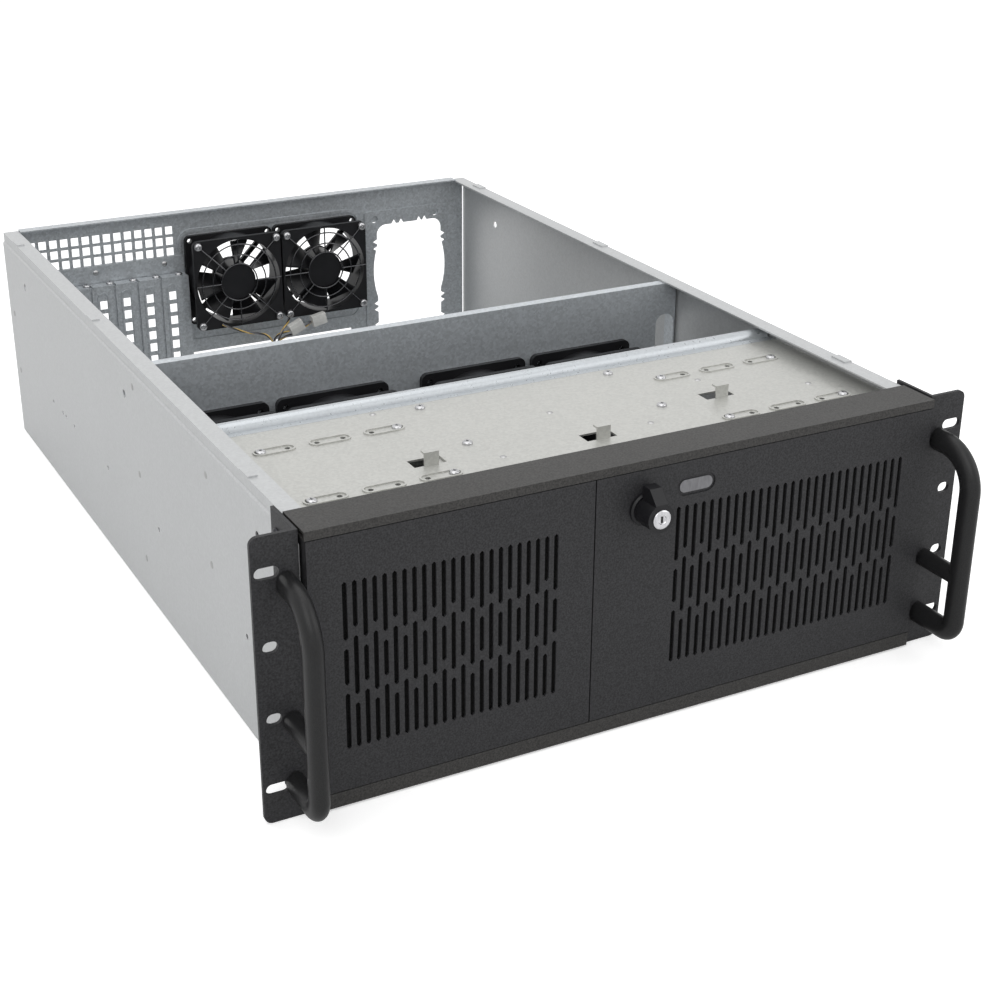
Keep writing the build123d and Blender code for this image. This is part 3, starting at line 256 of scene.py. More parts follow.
def zinc_sheet(name, colour, roughness, spangle, contrast):
    """Galvanised sheet: crystals of slightly different tone under a fine rolled grain."""
    material, tree, shader, coordinates = new_material(name, colour, 0.55, roughness)
    crystals = tree.nodes.new("ShaderNodeTexVoronoi")
    crystals.inputs["Scale"].default_value = spangle
    crystals.inputs["Randomness"].default_value = 1.0
    tree.links.new(coordinates.outputs["Object"], crystals.inputs["Vector"])
    tone = tree.nodes.new("ShaderNodeSeparateColor")
    tree.links.new(crystals.outputs["Color"], tone.inputs["Color"])
    fine = noise(tree, coordinates, 520.0, 6.0)
    cloud = noise(tree, coordinates, 14.0, 2.0, (1.0, 1.0, 0.3))
    blend = tree.nodes.new("ShaderNodeMix")
    blend.inputs["Factor"].default_value = 0.5
    tree.links.new(tone.outputs["Red"], blend.inputs["A"])
    tree.links.new(fine, blend.inputs["B"])
    soften = tree.nodes.new("ShaderNodeMix")
    soften.inputs["Factor"].default_value = 0.16
    tree.links.new(blend.outputs["Result"], soften.inputs["A"])
    tree.links.new(cloud, soften.inputs["B"])
    tint_between(
        tree,
        shader,
        soften.outputs["Result"],
        shade(colour, 1 - contrast),
        shade(colour, 1 + contrast),
        0.25,
        0.75,
    )
    vary_roughness(tree, shader, blend.outputs["Result"], roughness - 0.06, roughness + 0.08)
    raise_grain(tree, shader, fine, 0.12, 0.05 * mm)
    return material


def powder_coat(name, colour, roughness, grain, height):
    """Powder coat: a dark even paint with a fine orange-peel grain."""
    material, tree, shader, coordinates = new_material(name, colour, 0.0, roughness)
    shader.inputs["Specular IOR Level"].default_value = 0.28
    grains = noise(tree, coordinates, grain, 3.0)
    worn = noise(tree, coordinates, 14.0, 5.0)
    tint_between(tree, shader, grains, shade(colour, 0.6), shade(colour, 1.6), 0.3, 0.7)
    vary_roughness(tree, shader, worn, roughness - 0.05, roughness + 0.07)
    raise_grain(tree, shader, grains, 0.35, height)
    return material


def moulded_plastic(name, colour, roughness):
    """Moulded plastic with a faint flow pattern and a fine spark texture."""
    material, tree, shader, coordinates = new_material(name, colour, 0.0, roughness)
    shader.inputs["Specular IOR Level"].default_value = 0.32
    flow = noise(tree, coordinates, 60.0, 4.0)
    spark = noise(tree, coordinates, 2200.0, 2.0)
    tint_between(tree, shader, flow, shade(colour, 0.85), shade(colour, 1.2))
    vary_roughness(tree, shader, spark, roughness - 0.05, roughness + 0.08)
    raise_grain(tree, shader, spark, 0.12, 0.03 * mm)
    return material


def bright_metal(name, colour, roughness):
    """Plated metal with fine handling marks."""
    material, tree, shader, coordinates = new_material(name, colour, 1.0, roughness)
    marks = noise(tree, coordinates, 700.0, 5.0, (1.0, 1.0, 0.25))
    tint_between(tree, shader, marks, shade(colour, 0.85), shade(colour, 1.08))
    vary_roughness(tree, shader, marks, roughness - 0.05, roughness + 0.12)
    raise_grain(tree, shader, marks, 0.08, 0.02 * mm)
    return material


def open_foam(name, colour):
    """Open-cell foam: a dark mat whose small pore dents are darkened inside with painted shade."""
    material, tree, shader, coordinates = new_material(name, colour, 0.0, 0.95)
    shader.inputs["Specular IOR Level"].default_value = 0.1
    pores_and_shade = tree.nodes.new("ShaderNodeTexVoronoi")
    pores_and_shade.inputs["Scale"].default_value = 900.0
    tree.links.new(coordinates.outputs["Object"], pores_and_shade.inputs["Vector"])
    # Painted shade: the colour darkens in each pore's hollow, the same place where the bump sinks in.
    tint_between(tree, shader, pores_and_shade.outputs["Distance"], shade(colour, 0.3), shade(colour, 1.5), 0.1, 0.7)
    raise_grain(tree, shader, pores_and_shade.outputs["Distance"], 0.6, 0.4 * mm)
    return material


def wire_sleeve(name, colour):
    """Soft wire insulation with a slightly dusty face."""
    material, tree, shader, coordinates = new_material(name, colour, 0.0, 0.45)
    dust = noise(tree, coordinates, 400.0, 4.0)
    tint_between(tree, shader, dust, shade(colour, 0.8), shade(colour, 1.15))
    raise_grain(tree, shader, dust, 0.1, 0.03 * mm)
    return material


def give(names, material):
    """Gives these CAD nodes a material."""
    for name in names:
        mesh = nodes[name].data
        mesh.materials.clear()
        mesh.materials.append(material)


# Mesh helpers


def add_piece(name, bm, material, body, smooth=True):
    """Makes an object of a finished mesh, riding on a body of the case."""
    bmesh.ops.recalc_face_normals(bm, faces=bm.faces)
    mesh = bpy.data.meshes.new(name)
    bm.to_mesh(mesh)
    bm.free()
    mesh.materials.append(material)
    piece = bpy.data.objects.new(name, mesh)
    bpy.context.scene.collection.objects.link(piece)
    if smooth:
        for face in mesh.polygons:
            face.use_smooth = True
        mesh.set_sharp_from_angle(angle=math.radians(35))
    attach(piece, body)
    return piece


def turn_profile(bm, profile, steps, place):
    """Spins a profile of (radius, height) points round its upright axis and puts it in place."""
    start = [bm.verts.new((radius, 0.0, height)) for radius, height in profile]
    edges = [bm.edges.new(pair) for pair in zip(start, start[1:])]
    known = set(bm.verts) - set(start)
    bmesh.ops.spin(
        bm,
        geom=start + edges,
        cent=(0, 0, 0),
        axis=(0, 0, 1),
        angle=2 * math.pi,
        steps=steps,
        use_merge=True,
    )
    made = [vert for vert in bm.verts if vert not in known]
    bmesh.ops.remove_doubles(bm, verts=made, dist=1e-6)
    made = [vert for vert in bm.verts if vert not in known]
    bmesh.ops.transform(bm, matrix=place, verts=made)
    return made


def facing(point, outward):
    """A matrix that takes the local Z axis to the outward way, at a point."""
    turn = Vector(outward).to_track_quat("Z", "Y").to_matrix().to_4x4()
    return Matrix.Translation(Vector(point)) @ turn


def screw_head(bm, point, outward, radius, height):
    """A domed pan head with a cross recess, standing on a point."""
    profile = [
        (0.0, 0.35 * height),
        (0.42 * radius, 0.45 * height),
        (0.50 * radius, 0.97 * height),
        (0.72 * radius, 0.92 * height),
        (0.92 * radius, 0.66 * height),
        (radius, 0.30 * height),
        (radius, 0.0),
    ]
    made = turn_profile(bm, profile, 16, Matrix.Identity(4))
    for vert in made:
        reach = math.hypot(vert.co.x, vert.co.y)
        if 0.3 * radius < reach < 0.6 * radius:
            step = round(math.atan2(vert.co.y, vert.co.x) / (math.pi / 8))
            if step % 4 != 0:
                vert.co.x *= 0.45
                vert.co.y *= 0.45
    bmesh.ops.transform(bm, matrix=facing(point, outward), verts=made)


def dome(bm, point, outward, radius, height):
    """A rivet or pressed dimple: a low round dome."""
    profile = [
        (0.0, height),
        (0.45 * radius, 0.92 * height),
        (0.8 * radius, 0.6 * height),
        (radius, 0.0),
    ]
    turn_profile(bm, profile, 12, facing(point, outward))


def wire_ring(bm, centre, radius, wire, axis=(0, 1, 0)):
    """A ring of round wire that lies square to an axis."""
    known = set(bm.verts)
    circle = bmesh.ops.create_circle(
        bm,
        radius=wire,
        segments=8,
        matrix=Matrix.Translation((radius, 0, 0)) @ Matrix.Rotation(math.pi / 2, 4, "X"),
    )["verts"]
    edges = list({edge for vert in circle for edge in vert.link_edges})
    bmesh.ops.spin(
        bm,
        geom=circle + edges,
        cent=(0, 0, 0),
        axis=(0, 0, 1),
        angle=2 * math.pi,
        steps=48,
        use_merge=True,
    )
    made = [vert for vert in bm.verts if vert not in known]
    bmesh.ops.transform(bm, matrix=facing(centre, axis), verts=made)


def wire_rod(bm, start, end, wire):
    """A straight piece of round wire."""
    way = Vector(end) - Vector(start)
    middle = (Vector(start) + Vector(end)) / 2
    turn = way.to_track_quat("Z", "Y").to_matrix().to_4x4()
    bmesh.ops.create_cone(
        bm,
        cap_ends=True,
        segments=8,
        radius1=wire,
        radius2=wire,
        depth=way.length,
        matrix=Matrix.Translation(middle) @ turn,
    )


def smooth_route(path):
    """Places along the smooth line that a lead's route points shape."""
    curve = bpy.data.curves.new("lead_route", "CURVE")
    curve.dimensions = "3D"
    curve.resolution_u = 8
    spline = curve.splines.new("NURBS")
    spline.points.add(len(path) - 1)
    for point, place in zip(spline.points, path):
        point.co = (*(lead_origin + Vector(place) * mm), 1.0)
    spline.order_u = 3
    spline.use_endpoint_u = True
    holder = bpy.data.objects.new("lead_route", curve)
    mesh = bpy.data.meshes.new_from_object(holder)
    places = [vert.co.copy() for vert in mesh.vertices]
    bpy.data.meshes.remove(mesh)
    bpy.data.objects.remove(holder)
    bpy.data.curves.remove(curve)
    return places


def wound_wire(bm, places, wire, reach, first_turn, pitch, slot):
    """One round wire that winds round a route at this reach, in a material slot."""
    known = set(bm.faces)
    way = (places[1] - places[0]).normalized()
    side = way.orthogonal().normalized()
    turn = first_turn
    rings = []
    for index, place in enumerate(places):
        ahead = places[min(index + 1, len(places) - 1)]
        behind = places[max(index - 1, 0)]
        new_way = (ahead - behind).normalized()
        side = way.rotation_difference(new_way) @ side
        way = new_way
        out = Matrix.Rotation(turn, 3, way) @ side
        turn += (ahead - place).length * 2 * math.pi / pitch
        frame_turn = Matrix((out, way.cross(out), way)).transposed().to_4x4()
        ring = bmesh.ops.create_circle(
            bm,
            cap_ends=index in (0, len(places) - 1),
            radius=wire,
            segments=8,
            matrix=Matrix.Translation(place + out * reach) @ frame_turn,
        )["verts"]
        rings.append(list({edge for vert in ring for edge in vert.link_edges}))
    for before, after in zip(rings, rings[1:]):
        bmesh.ops.bridge_loops(bm, edges=before + after)
    for face in bm.faces:
        if face not in known:
            face.material_index = slot


def plug_housing(bm, size):
    """A plug's housing along X: rounded edges, an open socket end, pins and a latch rib."""
    known = set(bm.faces)
    body = bmesh.ops.create_cube(bm, size=1.0)["verts"]
    bmesh.ops.scale(bm, vec=size, verts=body)
    edges = {edge for vert in body for edge in vert.link_edges}
    long_edges = [edge for edge in edges if abs(edge.verts[0].co.x - edge.verts[1].co.x) > size.x / 2]
    bmesh.ops.bevel(
        bm,
        geom=long_edges,
        offset=0.8 * mm,
        segments=2,
        profile=0.5,
        affect="EDGES",
        material=-1,
    )
    made = [face for face in bm.faces if face not in known]
    socket = max(made, key=lambda face: face.calc_center_median().x)
    bmesh.ops.inset_region(bm, faces=[socket], thickness=0.9 * mm, use_even_offset=True)
    floor = bmesh.ops.extrude_discrete_faces(bm, faces=[socket])["faces"][0]
    bmesh.ops.translate(bm, vec=(-SOCKET_DEPTH, 0, 0), verts=list(floor.verts))
    rib = bmesh.ops.create_cube(bm, size=1.0)["verts"]
    bmesh.ops.scale(bm, vec=(7.0 * mm, 0.8 * mm, 3.0 * mm), verts=rib)
    bmesh.ops.translate(bm, vec=(-1.0 * mm, -size.y / 2, 0), verts=rib)
    known = set(bm.faces)
    for across in (-1, 1):
        for up in (-1, 1):
            root = Vector((size.x / 2 - SOCKET_DEPTH, across * 1.5 * mm, up * 2.3 * mm))
            wire_rod(bm, root, root + Vector((SOCKET_DEPTH - 0.8 * mm, 0, 0)), 0.5 * mm)
    for face in bm.faces:
        if face not in known:
            face.material_index = 1


def islands(mesh):
    """The separate solids of a mesh, each as a list of its vertex places."""
    bm = bmesh.new()
    bm.from_mesh(mesh)
    bmesh.ops.remove_doubles(bm, verts=bm.verts, dist=1e-6)
    left = set(bm.verts)
    found = []
    while left:
        front = [left.pop()]
        island = []
        while front:
            vert = front.pop()
            island.append(vert.co.copy())
            for edge in vert.link_edges:
                other = edge.other_vert(vert)
                if other in left:
                    left.discard(other)
                    front.append(other)
        found.append(island)
    bm.free()
    return found


def island_boxes(node):
    """Lowest and highest corner of each separate solid of a CAD node."""
    boxes = []
    for island in islands(nodes[node].data):
        low = Vector([min(place[axis] for place in island) for axis in range(3)])
        high = Vector([max(place[axis] for place in island) for axis in range(3)])
        boxes.append((low, high))
    return sorted(boxes, key=lambda pair: tuple(pair[0]))


# Settings


class ServerCaseSettings(bpy.types.PropertyGroup):
    """Colours and sizes of the case's finishes and fine pieces."""

    zinc_colour: bpy.props.FloatVectorProperty(
        name="Zinc",
        description="Tone of the galvanised sheet",
        subtype="COLOR",
        default=(0.56, 0.57, 0.575),
    )
    paint_colour: bpy.props.FloatVectorProperty(
        name="Front paint",
        description="Powder coat of the front",
        subtype="COLOR",
        default=(0.025, 0.025, 0.0268),
    )
    bar_colour: bpy.props.FloatVectorProperty(
        name="Handle paint",
        description="Satin paint of the handles",
        subtype="COLOR",
        default=(0.013, 0.013, 0.0135),
    )
    plastic_colour: bpy.props.FloatVectorProperty(
        name="Fan plastic",
        description="Black plastic of the fans",
        subtype="COLOR",
        default=(0.0085, 0.0085, 0.0098),
    )
    yellow_colour: bpy.props.FloatVectorProperty(
        name="Yellow lead",
        description="Insulation of the yellow wires",
        subtype="COLOR",
        default=(0.62, 0.43, 0.13),
    )
    paint_grain: bpy.props.FloatProperty(
        name="Paint grain",
        description="Grains of the powder coat in each metre",
        default=950.0,
        min=100.0,
    )
    spangle: bpy.props.FloatProperty(
        name="Spangle",
        description="Zinc crystals in each metre",
        default=620.0,
        min=10.0,
    )
    guard_wire: bpy.props.FloatProperty(
        name="Guard wire",
        description="Radius of the finger guards' wire",
        subtype="DISTANCE",
        unit="LENGTH",
        default=0.65 * mm,
    )
    lead_radius: bpy.props.FloatProperty(
        name="Lead",
        description="Radius of a fan lead",
        subtype="DISTANCE",
        unit="LENGTH",
        default=1.1 * mm,
    )
    focal_length: bpy.props.FloatProperty(
        name="Lens",
        description="Focal length of the studio camera in millimetres",
        default=62.2,
        min=10.0,
    )


def settings():
    """The settings of the current scene."""
    return bpy.context.scene.server_case


# Operators


class SERVERCASE_OT_finish_sheet(bpy.types.Operator):
    """Galvanised finish for the pan, the walls, the deck and the cages."""

    bl_idname = "servercase.finish_sheet"
    bl_label = "Finish Sheet Metal"

    def execute(self, context):
        chosen = settings()
        zinc = tuple(chosen.zinc_colour)
        give(STEEL_OUTSIDE, zinc_sheet("zinc_pan", shade(zinc, 0.96), 0.42, chosen.spangle, 0.06))
        inside = tuple(a * b for a, b in zip(zinc, (0.9, 0.93, 0.96)))
        give(STEEL_INSIDE, zinc_sheet("zinc_walls", inside, 0.36, chosen.spangle, 0.16))
        middle = tuple(a * b for a, b in zip(zinc, (1.0, 1.04, 1.08)))
        give(["mid_wall"], zinc_sheet("zinc_middle", middle, 0.36, chosen.spangle, 0.12))
        deck = tuple(a * b for a, b in zip(zinc, (0.93, 0.915, 0.865)))
        give(STEEL_DECK, zinc_sheet("zinc_deck", deck, 0.34, chosen.spangle, 0.08))
        bar = tuple(a * b for a, b in zip(zinc, (0.9, 0.93, 0.96)))
        give(["cross_bar"], zinc_sheet("zinc_bar", bar, 0.3, chosen.spangle, 0.05))
        return {"FINISHED"}


class SERVERCASE_OT_finish_front(bpy.types.Operator):
    """Powder coat for the front and satin paint for the handles."""

    bl_idname = "servercase.finish_front"
    bl_label = "Finish Front"

    def execute(self, context):
        chosen = settings()
        paint = tuple(chosen.paint_colour)
        give(PAINTED, powder_coat("front_paint", paint, 0.5, chosen.paint_grain, 0.12 * mm))
        cap = tuple(a * b for a, b in zip(paint, (1.5, 1.45, 1.3)))
        give(["front_frame"], powder_coat("cap_paint", cap, 0.46, chosen.paint_grain, 0.1 * mm))
        bar = tuple(chosen.bar_colour)
        give(BARS, powder_coat("bar_paint", bar, 0.34, 2200.0, 0.03 * mm))
        give(["filter_left", "filter_right"], open_foam("filter_foam", (0.005, 0.005, 0.005)))
        give(["badge_plate"], bright_metal("badge_metal", (0.22, 0.22, 0.23), 0.4))
        give(["hinge_pins"], bright_metal("dark_pins", (0.06, 0.06, 0.065), 0.4))
        return {"FINISHED"}


class SERVERCASE_OT_finish_plastic(bpy.types.Operator):
    """Black plastic for the fans, the buttons and the lock, and brass for the posts."""

    bl_idname = "servercase.finish_plastic"
    bl_label = "Finish Plastic"

    def execute(self, context):
        colour = tuple(settings().plastic_colour)
        give(FAN_PLASTIC, moulded_plastic("fan_frame_plastic", colour, 0.42))
        give(FAN_BLADES, moulded_plastic("fan_blade_plastic", shade(colour, 1.2), 0.34))
        give(PLASTIC, moulded_plastic("knob_plastic", shade(colour, 1.1), 0.4))
        give(["standoffs"], bright_metal("brass_posts", (0.7, 0.52, 0.22), 0.3))
        give(["lock_cam"], bright_metal("cam_steel", (0.6, 0.6, 0.6), 0.35))
        return {"FINISHED"}


class SERVERCASE_OT_add_screws(bpy.types.Operator):
    """Pan-head screws with cross recesses in place of the plain ones."""

    bl_idname = "servercase.add_screws"
    bl_label = "Add Screws"

    def execute(self, context):
        bright = bright_metal("screw_zinc", (0.5, 0.5, 0.51), 0.22)
        dark = bright_metal("screw_black", (0.05, 0.05, 0.055), 0.35)
        groups = {
            "deck_screws": ((0, 0, 1), bright),
            "slot_screws": ((0, 0, 1), bright),
            "fan_screws": ((0, -1, 0), bright),
            "ear_screws": (None, dark),
        }
        for node, (way, material) in groups.items():
            bm = bmesh.new()
            for low, high in island_boxes(node):
                middle = (low + high) / 2
                outward = Vector(way) if way else Vector((math.copysign(1, middle.x), 0, 0))
                axis = max(range(3), key=lambda index: abs(outward[index]))
                side = (axis + 1) % 3
                radius = (high[side] - low[side]) / 2
                tip = high[axis] if outward[axis] > 0 else low[axis]
                seat = middle.copy()
                seat[axis] = tip - outward[axis] * SCREW_HEAD_HEIGHT
                screw_head(bm, seat, outward, radius, SCREW_HEAD_HEIGHT)
            piece = add_piece(f"{node}_crossed", bm, material, "case")
            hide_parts(node)
        return {"FINISHED"}


class SERVERCASE_OT_add_guards(bpy.types.Operator):
    """Finger guards of round wire on the rear fans."""

    bl_idname = "servercase.add_guards"
    bl_label = "Add Finger Guards"

    def execute(self, context):
        wire = settings().guard_wire
        steel = bright_metal("guard_wire", (0.1, 0.1, 0.105), 0.22)
        for number in (1, 2):
            node = f"finger_guard_{number}"
            low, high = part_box(node)
            centre = (low + high) / 2
            bm = bmesh.new()
            for ring in GUARD_RINGS:
                wire_ring(bm, centre, ring, wire)
            screw_reach = (high.x - low.x) / 2 - SCREW_INSET
            for index in range(8):
                turn = index * math.pi / 4
                way = Vector((math.cos(turn), 0, math.sin(turn)))
                reach = GUARD_REACH if index % 2 == 0 else screw_reach * math.sqrt(2) - EYE_SEAT
                wire_rod(bm, centre + way * GUARD_RINGS[0], centre + way * reach, wire)
            for across in (-1, 1):
                for up in (-1, 1):
                    eye = centre + Vector((across * screw_reach, 0, up * screw_reach))
                    wire_ring(bm, eye, EYE_RADIUS, wire)
            piece = add_piece(f"{node}_wire", bm, steel, "case")
            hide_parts(node)
        return {"FINISHED"}


class SERVERCASE_OT_add_marks(bpy.types.Operator):
    """Rivets on the deck, the side walls and above the slot bracket."""

    bl_idname = "servercase.add_marks"
    bl_label = "Add Rivets"

    def execute(self, context):
        zinc = bright_metal("rivet_zinc", (0.42, 0.42, 0.42), 0.3)
        bm = bmesh.new()
        deck_top = deck_low.z + DECK_RISE
        for x, row in DECK_RIVETS:
            point = (x * mm, panel_y + row * mm, deck_top)
            dome(bm, point, (0, 0, 1), 2.2 * mm, 0.7 * mm)
        for x in SLOT_RIVETS:
            point = (x * mm, rear_y - SLOT_RIVET_SEAT * mm, SLOT_RIVET_HEIGHT * mm)
            dome(bm, point, (0, -1, 0), 2.4 * mm, 0.9 * mm)
        add_piece("deck_rivets", bm, zinc, "case")
        bm = bmesh.new()
        for row, heights in WALL_RIVETS.items():
            for height in heights:
                for side in (-1, 1):
                    point = (side * wall_x, panel_y + row * mm, height * mm)
                    dome(bm, point, (side, 0, 0), 2.6 * mm, 0.5 * mm)
        add_piece("wall_rivets", bm, zinc, "case")
        return {"FINISHED"}


class SERVERCASE_OT_add_key(bpy.types.Operator):
    """The key cylinder: a bevelled bright disc with a keyway, a near-black slab of painted shade standing in
    for the hole.
    """

    bl_idname = "servercase.add_key"
    bl_label = "Add Key Cylinder"

    def execute(self, context):
        low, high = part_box("key_cylinder")
        centre = (low + high) / 2
        radius = (high.x - low.x) / 2
        front = Vector((centre.x, low.y, centre.z))
        depth = high.y - low.y
        bm = bmesh.new()
        profile = [
            (0.0, depth - 0.9 * mm),
            (0.42 * radius, depth - 0.9 * mm),
            (0.48 * radius, depth - 0.35 * mm),
            (0.80 * radius, depth),
            (0.94 * radius, depth - 0.2 * mm),
            (radius, depth - 0.6 * mm),
            (radius, 0.0),
        ]
        place = facing(front + Vector((0, depth, 0)), (0, -1, 0))
        turn_profile(bm, profile, 32, place)
        bright = bright_metal("key_cylinder_bright", (0.68, 0.68, 0.7), 0.2)
        piece = add_piece("key_cylinder_disc", bm, bright, "lock")
        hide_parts("key_cylinder")
        bm = bmesh.new()
        bmesh.ops.create_cube(bm, size=1.0)
        bmesh.ops.scale(bm, vec=KEYWAY, verts=bm.verts)
        bmesh.ops.translate(bm, vec=front + Vector((0, KEYWAY_SEAT, 0)), verts=bm.verts)
        bmesh.ops.bevel(
            bm,
            geom=bm.edges[:],
            offset=0.1 * mm,
            segments=1,
            profile=0.5,
            affect="EDGES",
            material=-1,
        )
        # Painted shade: a near-black slab stands in for the shadowed hole of the keyway.
        dark = new_material("keyway_painted_shade", (0.01, 0.01, 0.01), 0.0, 0.6)[0]
        add_piece("keyway", bm, dark, "lock", smooth=False)
        return {"FINISHED"}


class SERVERCASE_OT_add_leads(bpy.types.Operator):
    """The rear fans' leads: three wound wires each, their wrap and their plugs."""

    bl_idname = "servercase.add_leads"
    bl_label = "Add Fan Leads"

    def execute(self, context):
        chosen = settings()
        sleeves = [
            wire_sleeve("yellow_sleeve", tuple(chosen.yellow_colour)),
            wire_sleeve("black_sleeve", (0.02, 0.02, 0.022)),
            wire_sleeve("grey_sleeve", (0.16, 0.16, 0.17)),
        ]
        wrap = self.wrap_leads(sleeves)
        plugs = self.house_plugs()
        radius = chosen.lead_radius
        wire = WIRE_SHARE * radius
        for number, path in enumerate((LEFT_LEAD, RIGHT_LEAD)):
            places = smooth_route(path)
            bm = bmesh.new()
            for slot in range(3):
                first_turn = slot * 2 * math.pi / 3
                wound_wire(bm, places, wire, radius - wire, first_turn, WIRE_PITCH, slot)
            name = f"fan_lead_{number + 1}"
            piece = add_piece(f"{name}_wires", bm, sleeves[0], "case")
            for sleeve in sleeves[1:]:
                piece.data.materials.append(sleeve)
            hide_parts(name)
        return {"FINISHED"}

    def wrap_leads(self, sleeves):
        """Turns of yellow and black wire that hold the leads together."""
        low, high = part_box("lead_tie")
        centre = (low + high) / 2
        reach = (high.x - low.x) / 2 - WRAP_WIRE - 0.1 * mm
        tall = high.z - low.z - 2 * WRAP_WIRE
        bm = bmesh.new()
        for turn in range(WRAP_TURNS):
            known = set(bm.faces)
            place = centre + Vector((0, 0, tall * (turn / (WRAP_TURNS - 1) - 0.5)))
            lean = (0.06 * (-1) ** turn, 0.04, 1)
            wire_ring(bm, place, reach, WRAP_WIRE, lean)
            for face in bm.faces:
                if face not in known:
                    face.material_index = turn % 2
        wrap = add_piece("lead_wrap", bm, sleeves[0], "case")
        wrap.data.materials.append(sleeves[1])
        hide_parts("lead_tie")
        return wrap

    def house_plugs(self):
        """Two moulded plug housings in place of the plain ones, one for each lead."""
        plastic = moulded_plastic("plug_plastic", (0.55, 0.55, 0.53), 0.45)
        pins = bright_metal("plug_pins", (0.6, 0.58, 0.5), 0.3)
        plugs = []
        for (low, high), turn in zip(island_boxes("lead_plugs"), PLUG_TURNS):
            bm = bmesh.new()
            plug_housing(bm, Vector(PLUG_SIZE) * mm)
            lift = Matrix.Rotation(-math.radians(turn), 4, "Y")
            bmesh.ops.transform(bm, matrix=Matrix.Translation((low + high) / 2) @ lift, verts=bm.verts)
            plug = add_piece(f"lead_plug_{len(plugs) + 1}", bm, plastic, "case")
            plug.data.materials.append(pins)
            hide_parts("lead_plugs")
            plugs.append(plug)
        return plugs


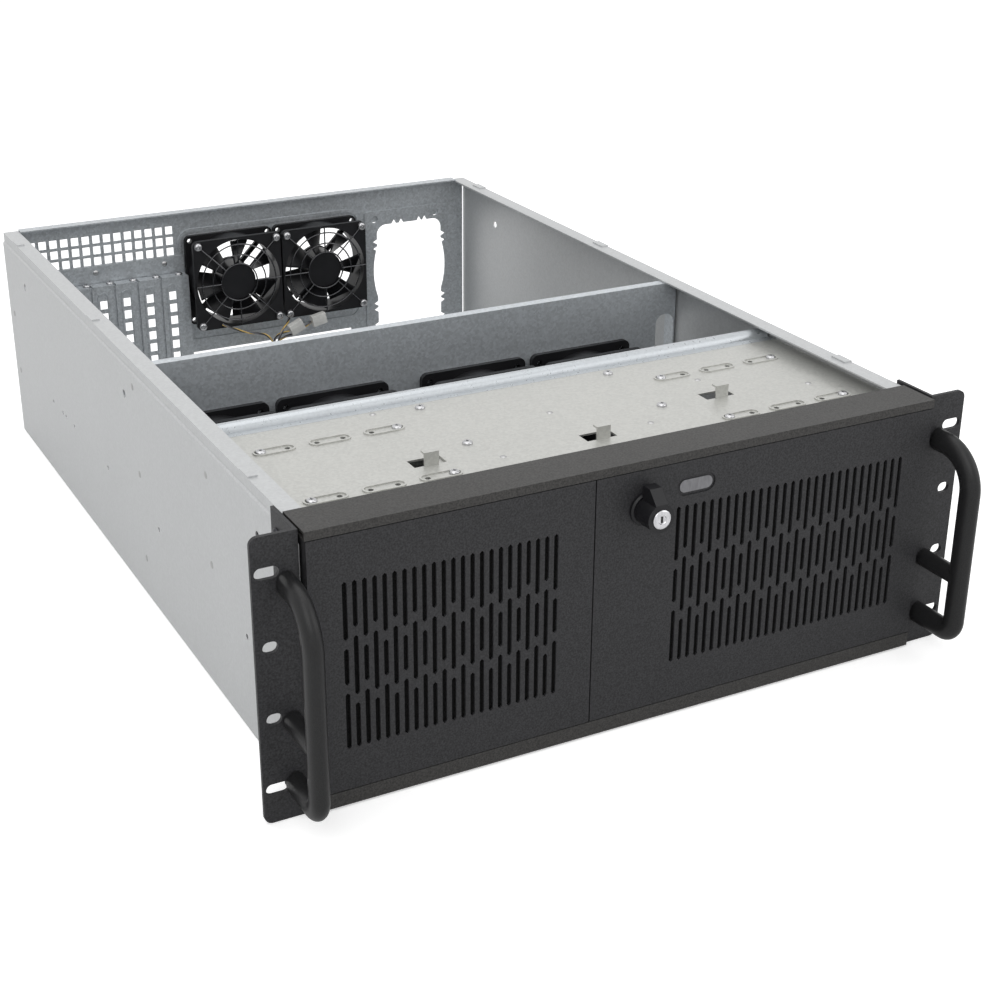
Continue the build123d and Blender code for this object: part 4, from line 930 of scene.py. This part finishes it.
class SERVERCASE_OT_build_stage(bpy.types.Operator):
    """A white floor, soft lamps and the camera of the studio."""

    bl_idname = "servercase.build_stage"
    bl_label = "Build Stage"

    def execute(self, context):
        scene = bpy.context.scene
        scene.view_settings.view_transform = "Standard"
        world = bpy.data.worlds.new("studio")
        scene.world = world
        world.use_nodes = True
        tree = world.node_tree
        soft = tree.nodes["Background"]
        soft.inputs["Color"].default_value = (1.0, 1.0, 1.0, 1.0)
        soft.inputs["Strength"].default_value = SKY_LIGHT
        white = tree.nodes.new("ShaderNodeBackground")
        white.inputs["Color"].default_value = (1.0, 1.0, 1.0, 1.0)
        white.inputs["Strength"].default_value = 1.0
        rays = tree.nodes.new("ShaderNodeLightPath")
        seen = tree.nodes.new("ShaderNodeMath")
        seen.operation = "MAXIMUM"
        mirrored = tree.nodes.new("ShaderNodeMath")
        mirrored.operation = "MAXIMUM"
        mix = tree.nodes.new("ShaderNodeMixShader")
        tree.links.new(rays.outputs["Is Camera Ray"], seen.inputs[0])
        tree.links.new(rays.outputs["Is Glossy Ray"], seen.inputs[1])
        tree.links.new(seen.outputs["Value"], mirrored.inputs[0])
        tree.links.new(rays.outputs["Is Transmission Ray"], mirrored.inputs[1])
        tree.links.new(mirrored.outputs["Value"], mix.inputs["Fac"])
        tree.links.new(soft.outputs["Background"], mix.inputs[1])
        tree.links.new(white.outputs["Background"], mix.inputs[2])
        tree.links.new(mix.outputs["Shader"], tree.nodes["World Output"].inputs["Surface"])

        bm = bmesh.new()
        bmesh.ops.create_grid(bm, x_segments=1, y_segments=1, size=6.0)
        bmesh.ops.translate(bm, vec=(0, 0, cad_low.z - 0.05 * mm), verts=bm.verts)
        mesh = bpy.data.meshes.new("floor")
        bm.to_mesh(mesh)
        bm.free()
        floor = bpy.data.objects.new("floor", mesh)
        scene.collection.objects.link(floor)
        pale, floor_tree, shader = new_material("floor_white", (0.9, 0.9, 0.9), 0.0, 0.9)[:3]
        shader.inputs["Emission Color"].default_value = (1.0, 1.0, 1.0, 1.0)
        floor_rays = floor_tree.nodes.new("ShaderNodeLightPath")
        lift = floor_tree.nodes.new("ShaderNodeMath")
        lift.operation = "MULTIPLY"
        lift.inputs[1].default_value = FLOOR_GLOW
        floor_tree.links.new(floor_rays.outputs["Is Camera Ray"], lift.inputs[0])
        floor_tree.links.new(lift.outputs["Value"], shader.inputs["Emission Strength"])
        mesh.materials.append(pale)

        for name, (place, size, power) in LAMPS.items():
            lamp = bpy.data.lights.new(name, "AREA")
            lamp.size = size
            lamp.energy = power
            holder = bpy.data.objects.new(name, lamp)
            holder.location = place
            aim = Vector(LAMP_AIM) - Vector(place)
            holder.rotation_mode = "QUATERNION"
            holder.rotation_quaternion = aim.to_track_quat("-Z", "Y")
            scene.collection.objects.link(holder)

        azimuth = math.radians(CAMERA_AZIMUTH)
        elevation = math.radians(CAMERA_ELEVATION)
        roll = math.radians(CAMERA_ROLL)
        back = Vector(
            (
                math.sin(azimuth) * math.cos(elevation),
                -math.cos(azimuth) * math.cos(elevation),
                math.sin(elevation),
            )
        )
        lens = bpy.data.cameras.new("studio_camera")
        lens.sensor_width = 36.0
        lens.lens = settings().focal_length
        lens.clip_start = 0.01
        lens.clip_end = 50.0
        camera = bpy.data.objects.new("studio_camera", lens)
        camera.location = Vector(CAMERA_PLACE) * mm + Vector((0, panel_y, 0))
        camera.rotation_mode = "QUATERNION"
        level = (-back).to_track_quat("-Z", "Y")
        camera.rotation_quaternion = level @ Matrix.Rotation(roll, 4, "Z").to_quaternion()
        scene.collection.objects.link(camera)
        scene.camera = camera
        return {"FINISHED"}


class SERVERCASE_PT_panel(bpy.types.Panel):
    """Lists the steps that dress the case."""

    bl_idname = "SERVERCASE_PT_panel"
    bl_label = "Server Case"
    bl_space_type = "VIEW_3D"
    bl_region_type = "UI"
    bl_category = "Server Case"

    def draw(self, context):
        for step in STEPS:
            self.layout.operator(step.bl_idname)
        for name in ServerCaseSettings.__annotations__:
            self.layout.prop(context.scene.server_case, name)


STEPS = (
    SERVERCASE_OT_build_stage,
    SERVERCASE_OT_finish_sheet,
    SERVERCASE_OT_finish_front,
    SERVERCASE_OT_finish_plastic,
    SERVERCASE_OT_add_screws,
    SERVERCASE_OT_add_guards,
    SERVERCASE_OT_add_marks,
    SERVERCASE_OT_add_key,
    SERVERCASE_OT_add_leads,
)
CLASSES = (ServerCaseSettings, *STEPS, SERVERCASE_PT_panel)


def register():
    for kind in CLASSES:
        bpy.utils.register_class(kind)
    bpy.types.Scene.server_case = bpy.props.PointerProperty(type=ServerCaseSettings)


def unregister():
    del bpy.types.Scene.server_case
    for kind in reversed(CLASSES):
        bpy.utils.unregister_class(kind)


def main():
    register()
    bpy.ops.servercase.build_stage()
    bpy.ops.servercase.finish_sheet()
    bpy.ops.servercase.finish_front()
    bpy.ops.servercase.finish_plastic()
    bpy.ops.servercase.add_screws()
    bpy.ops.servercase.add_guards()
    bpy.ops.servercase.add_marks()
    bpy.ops.servercase.add_key()
    bpy.ops.servercase.add_leads()


if __name__ == "__main__":
    main()
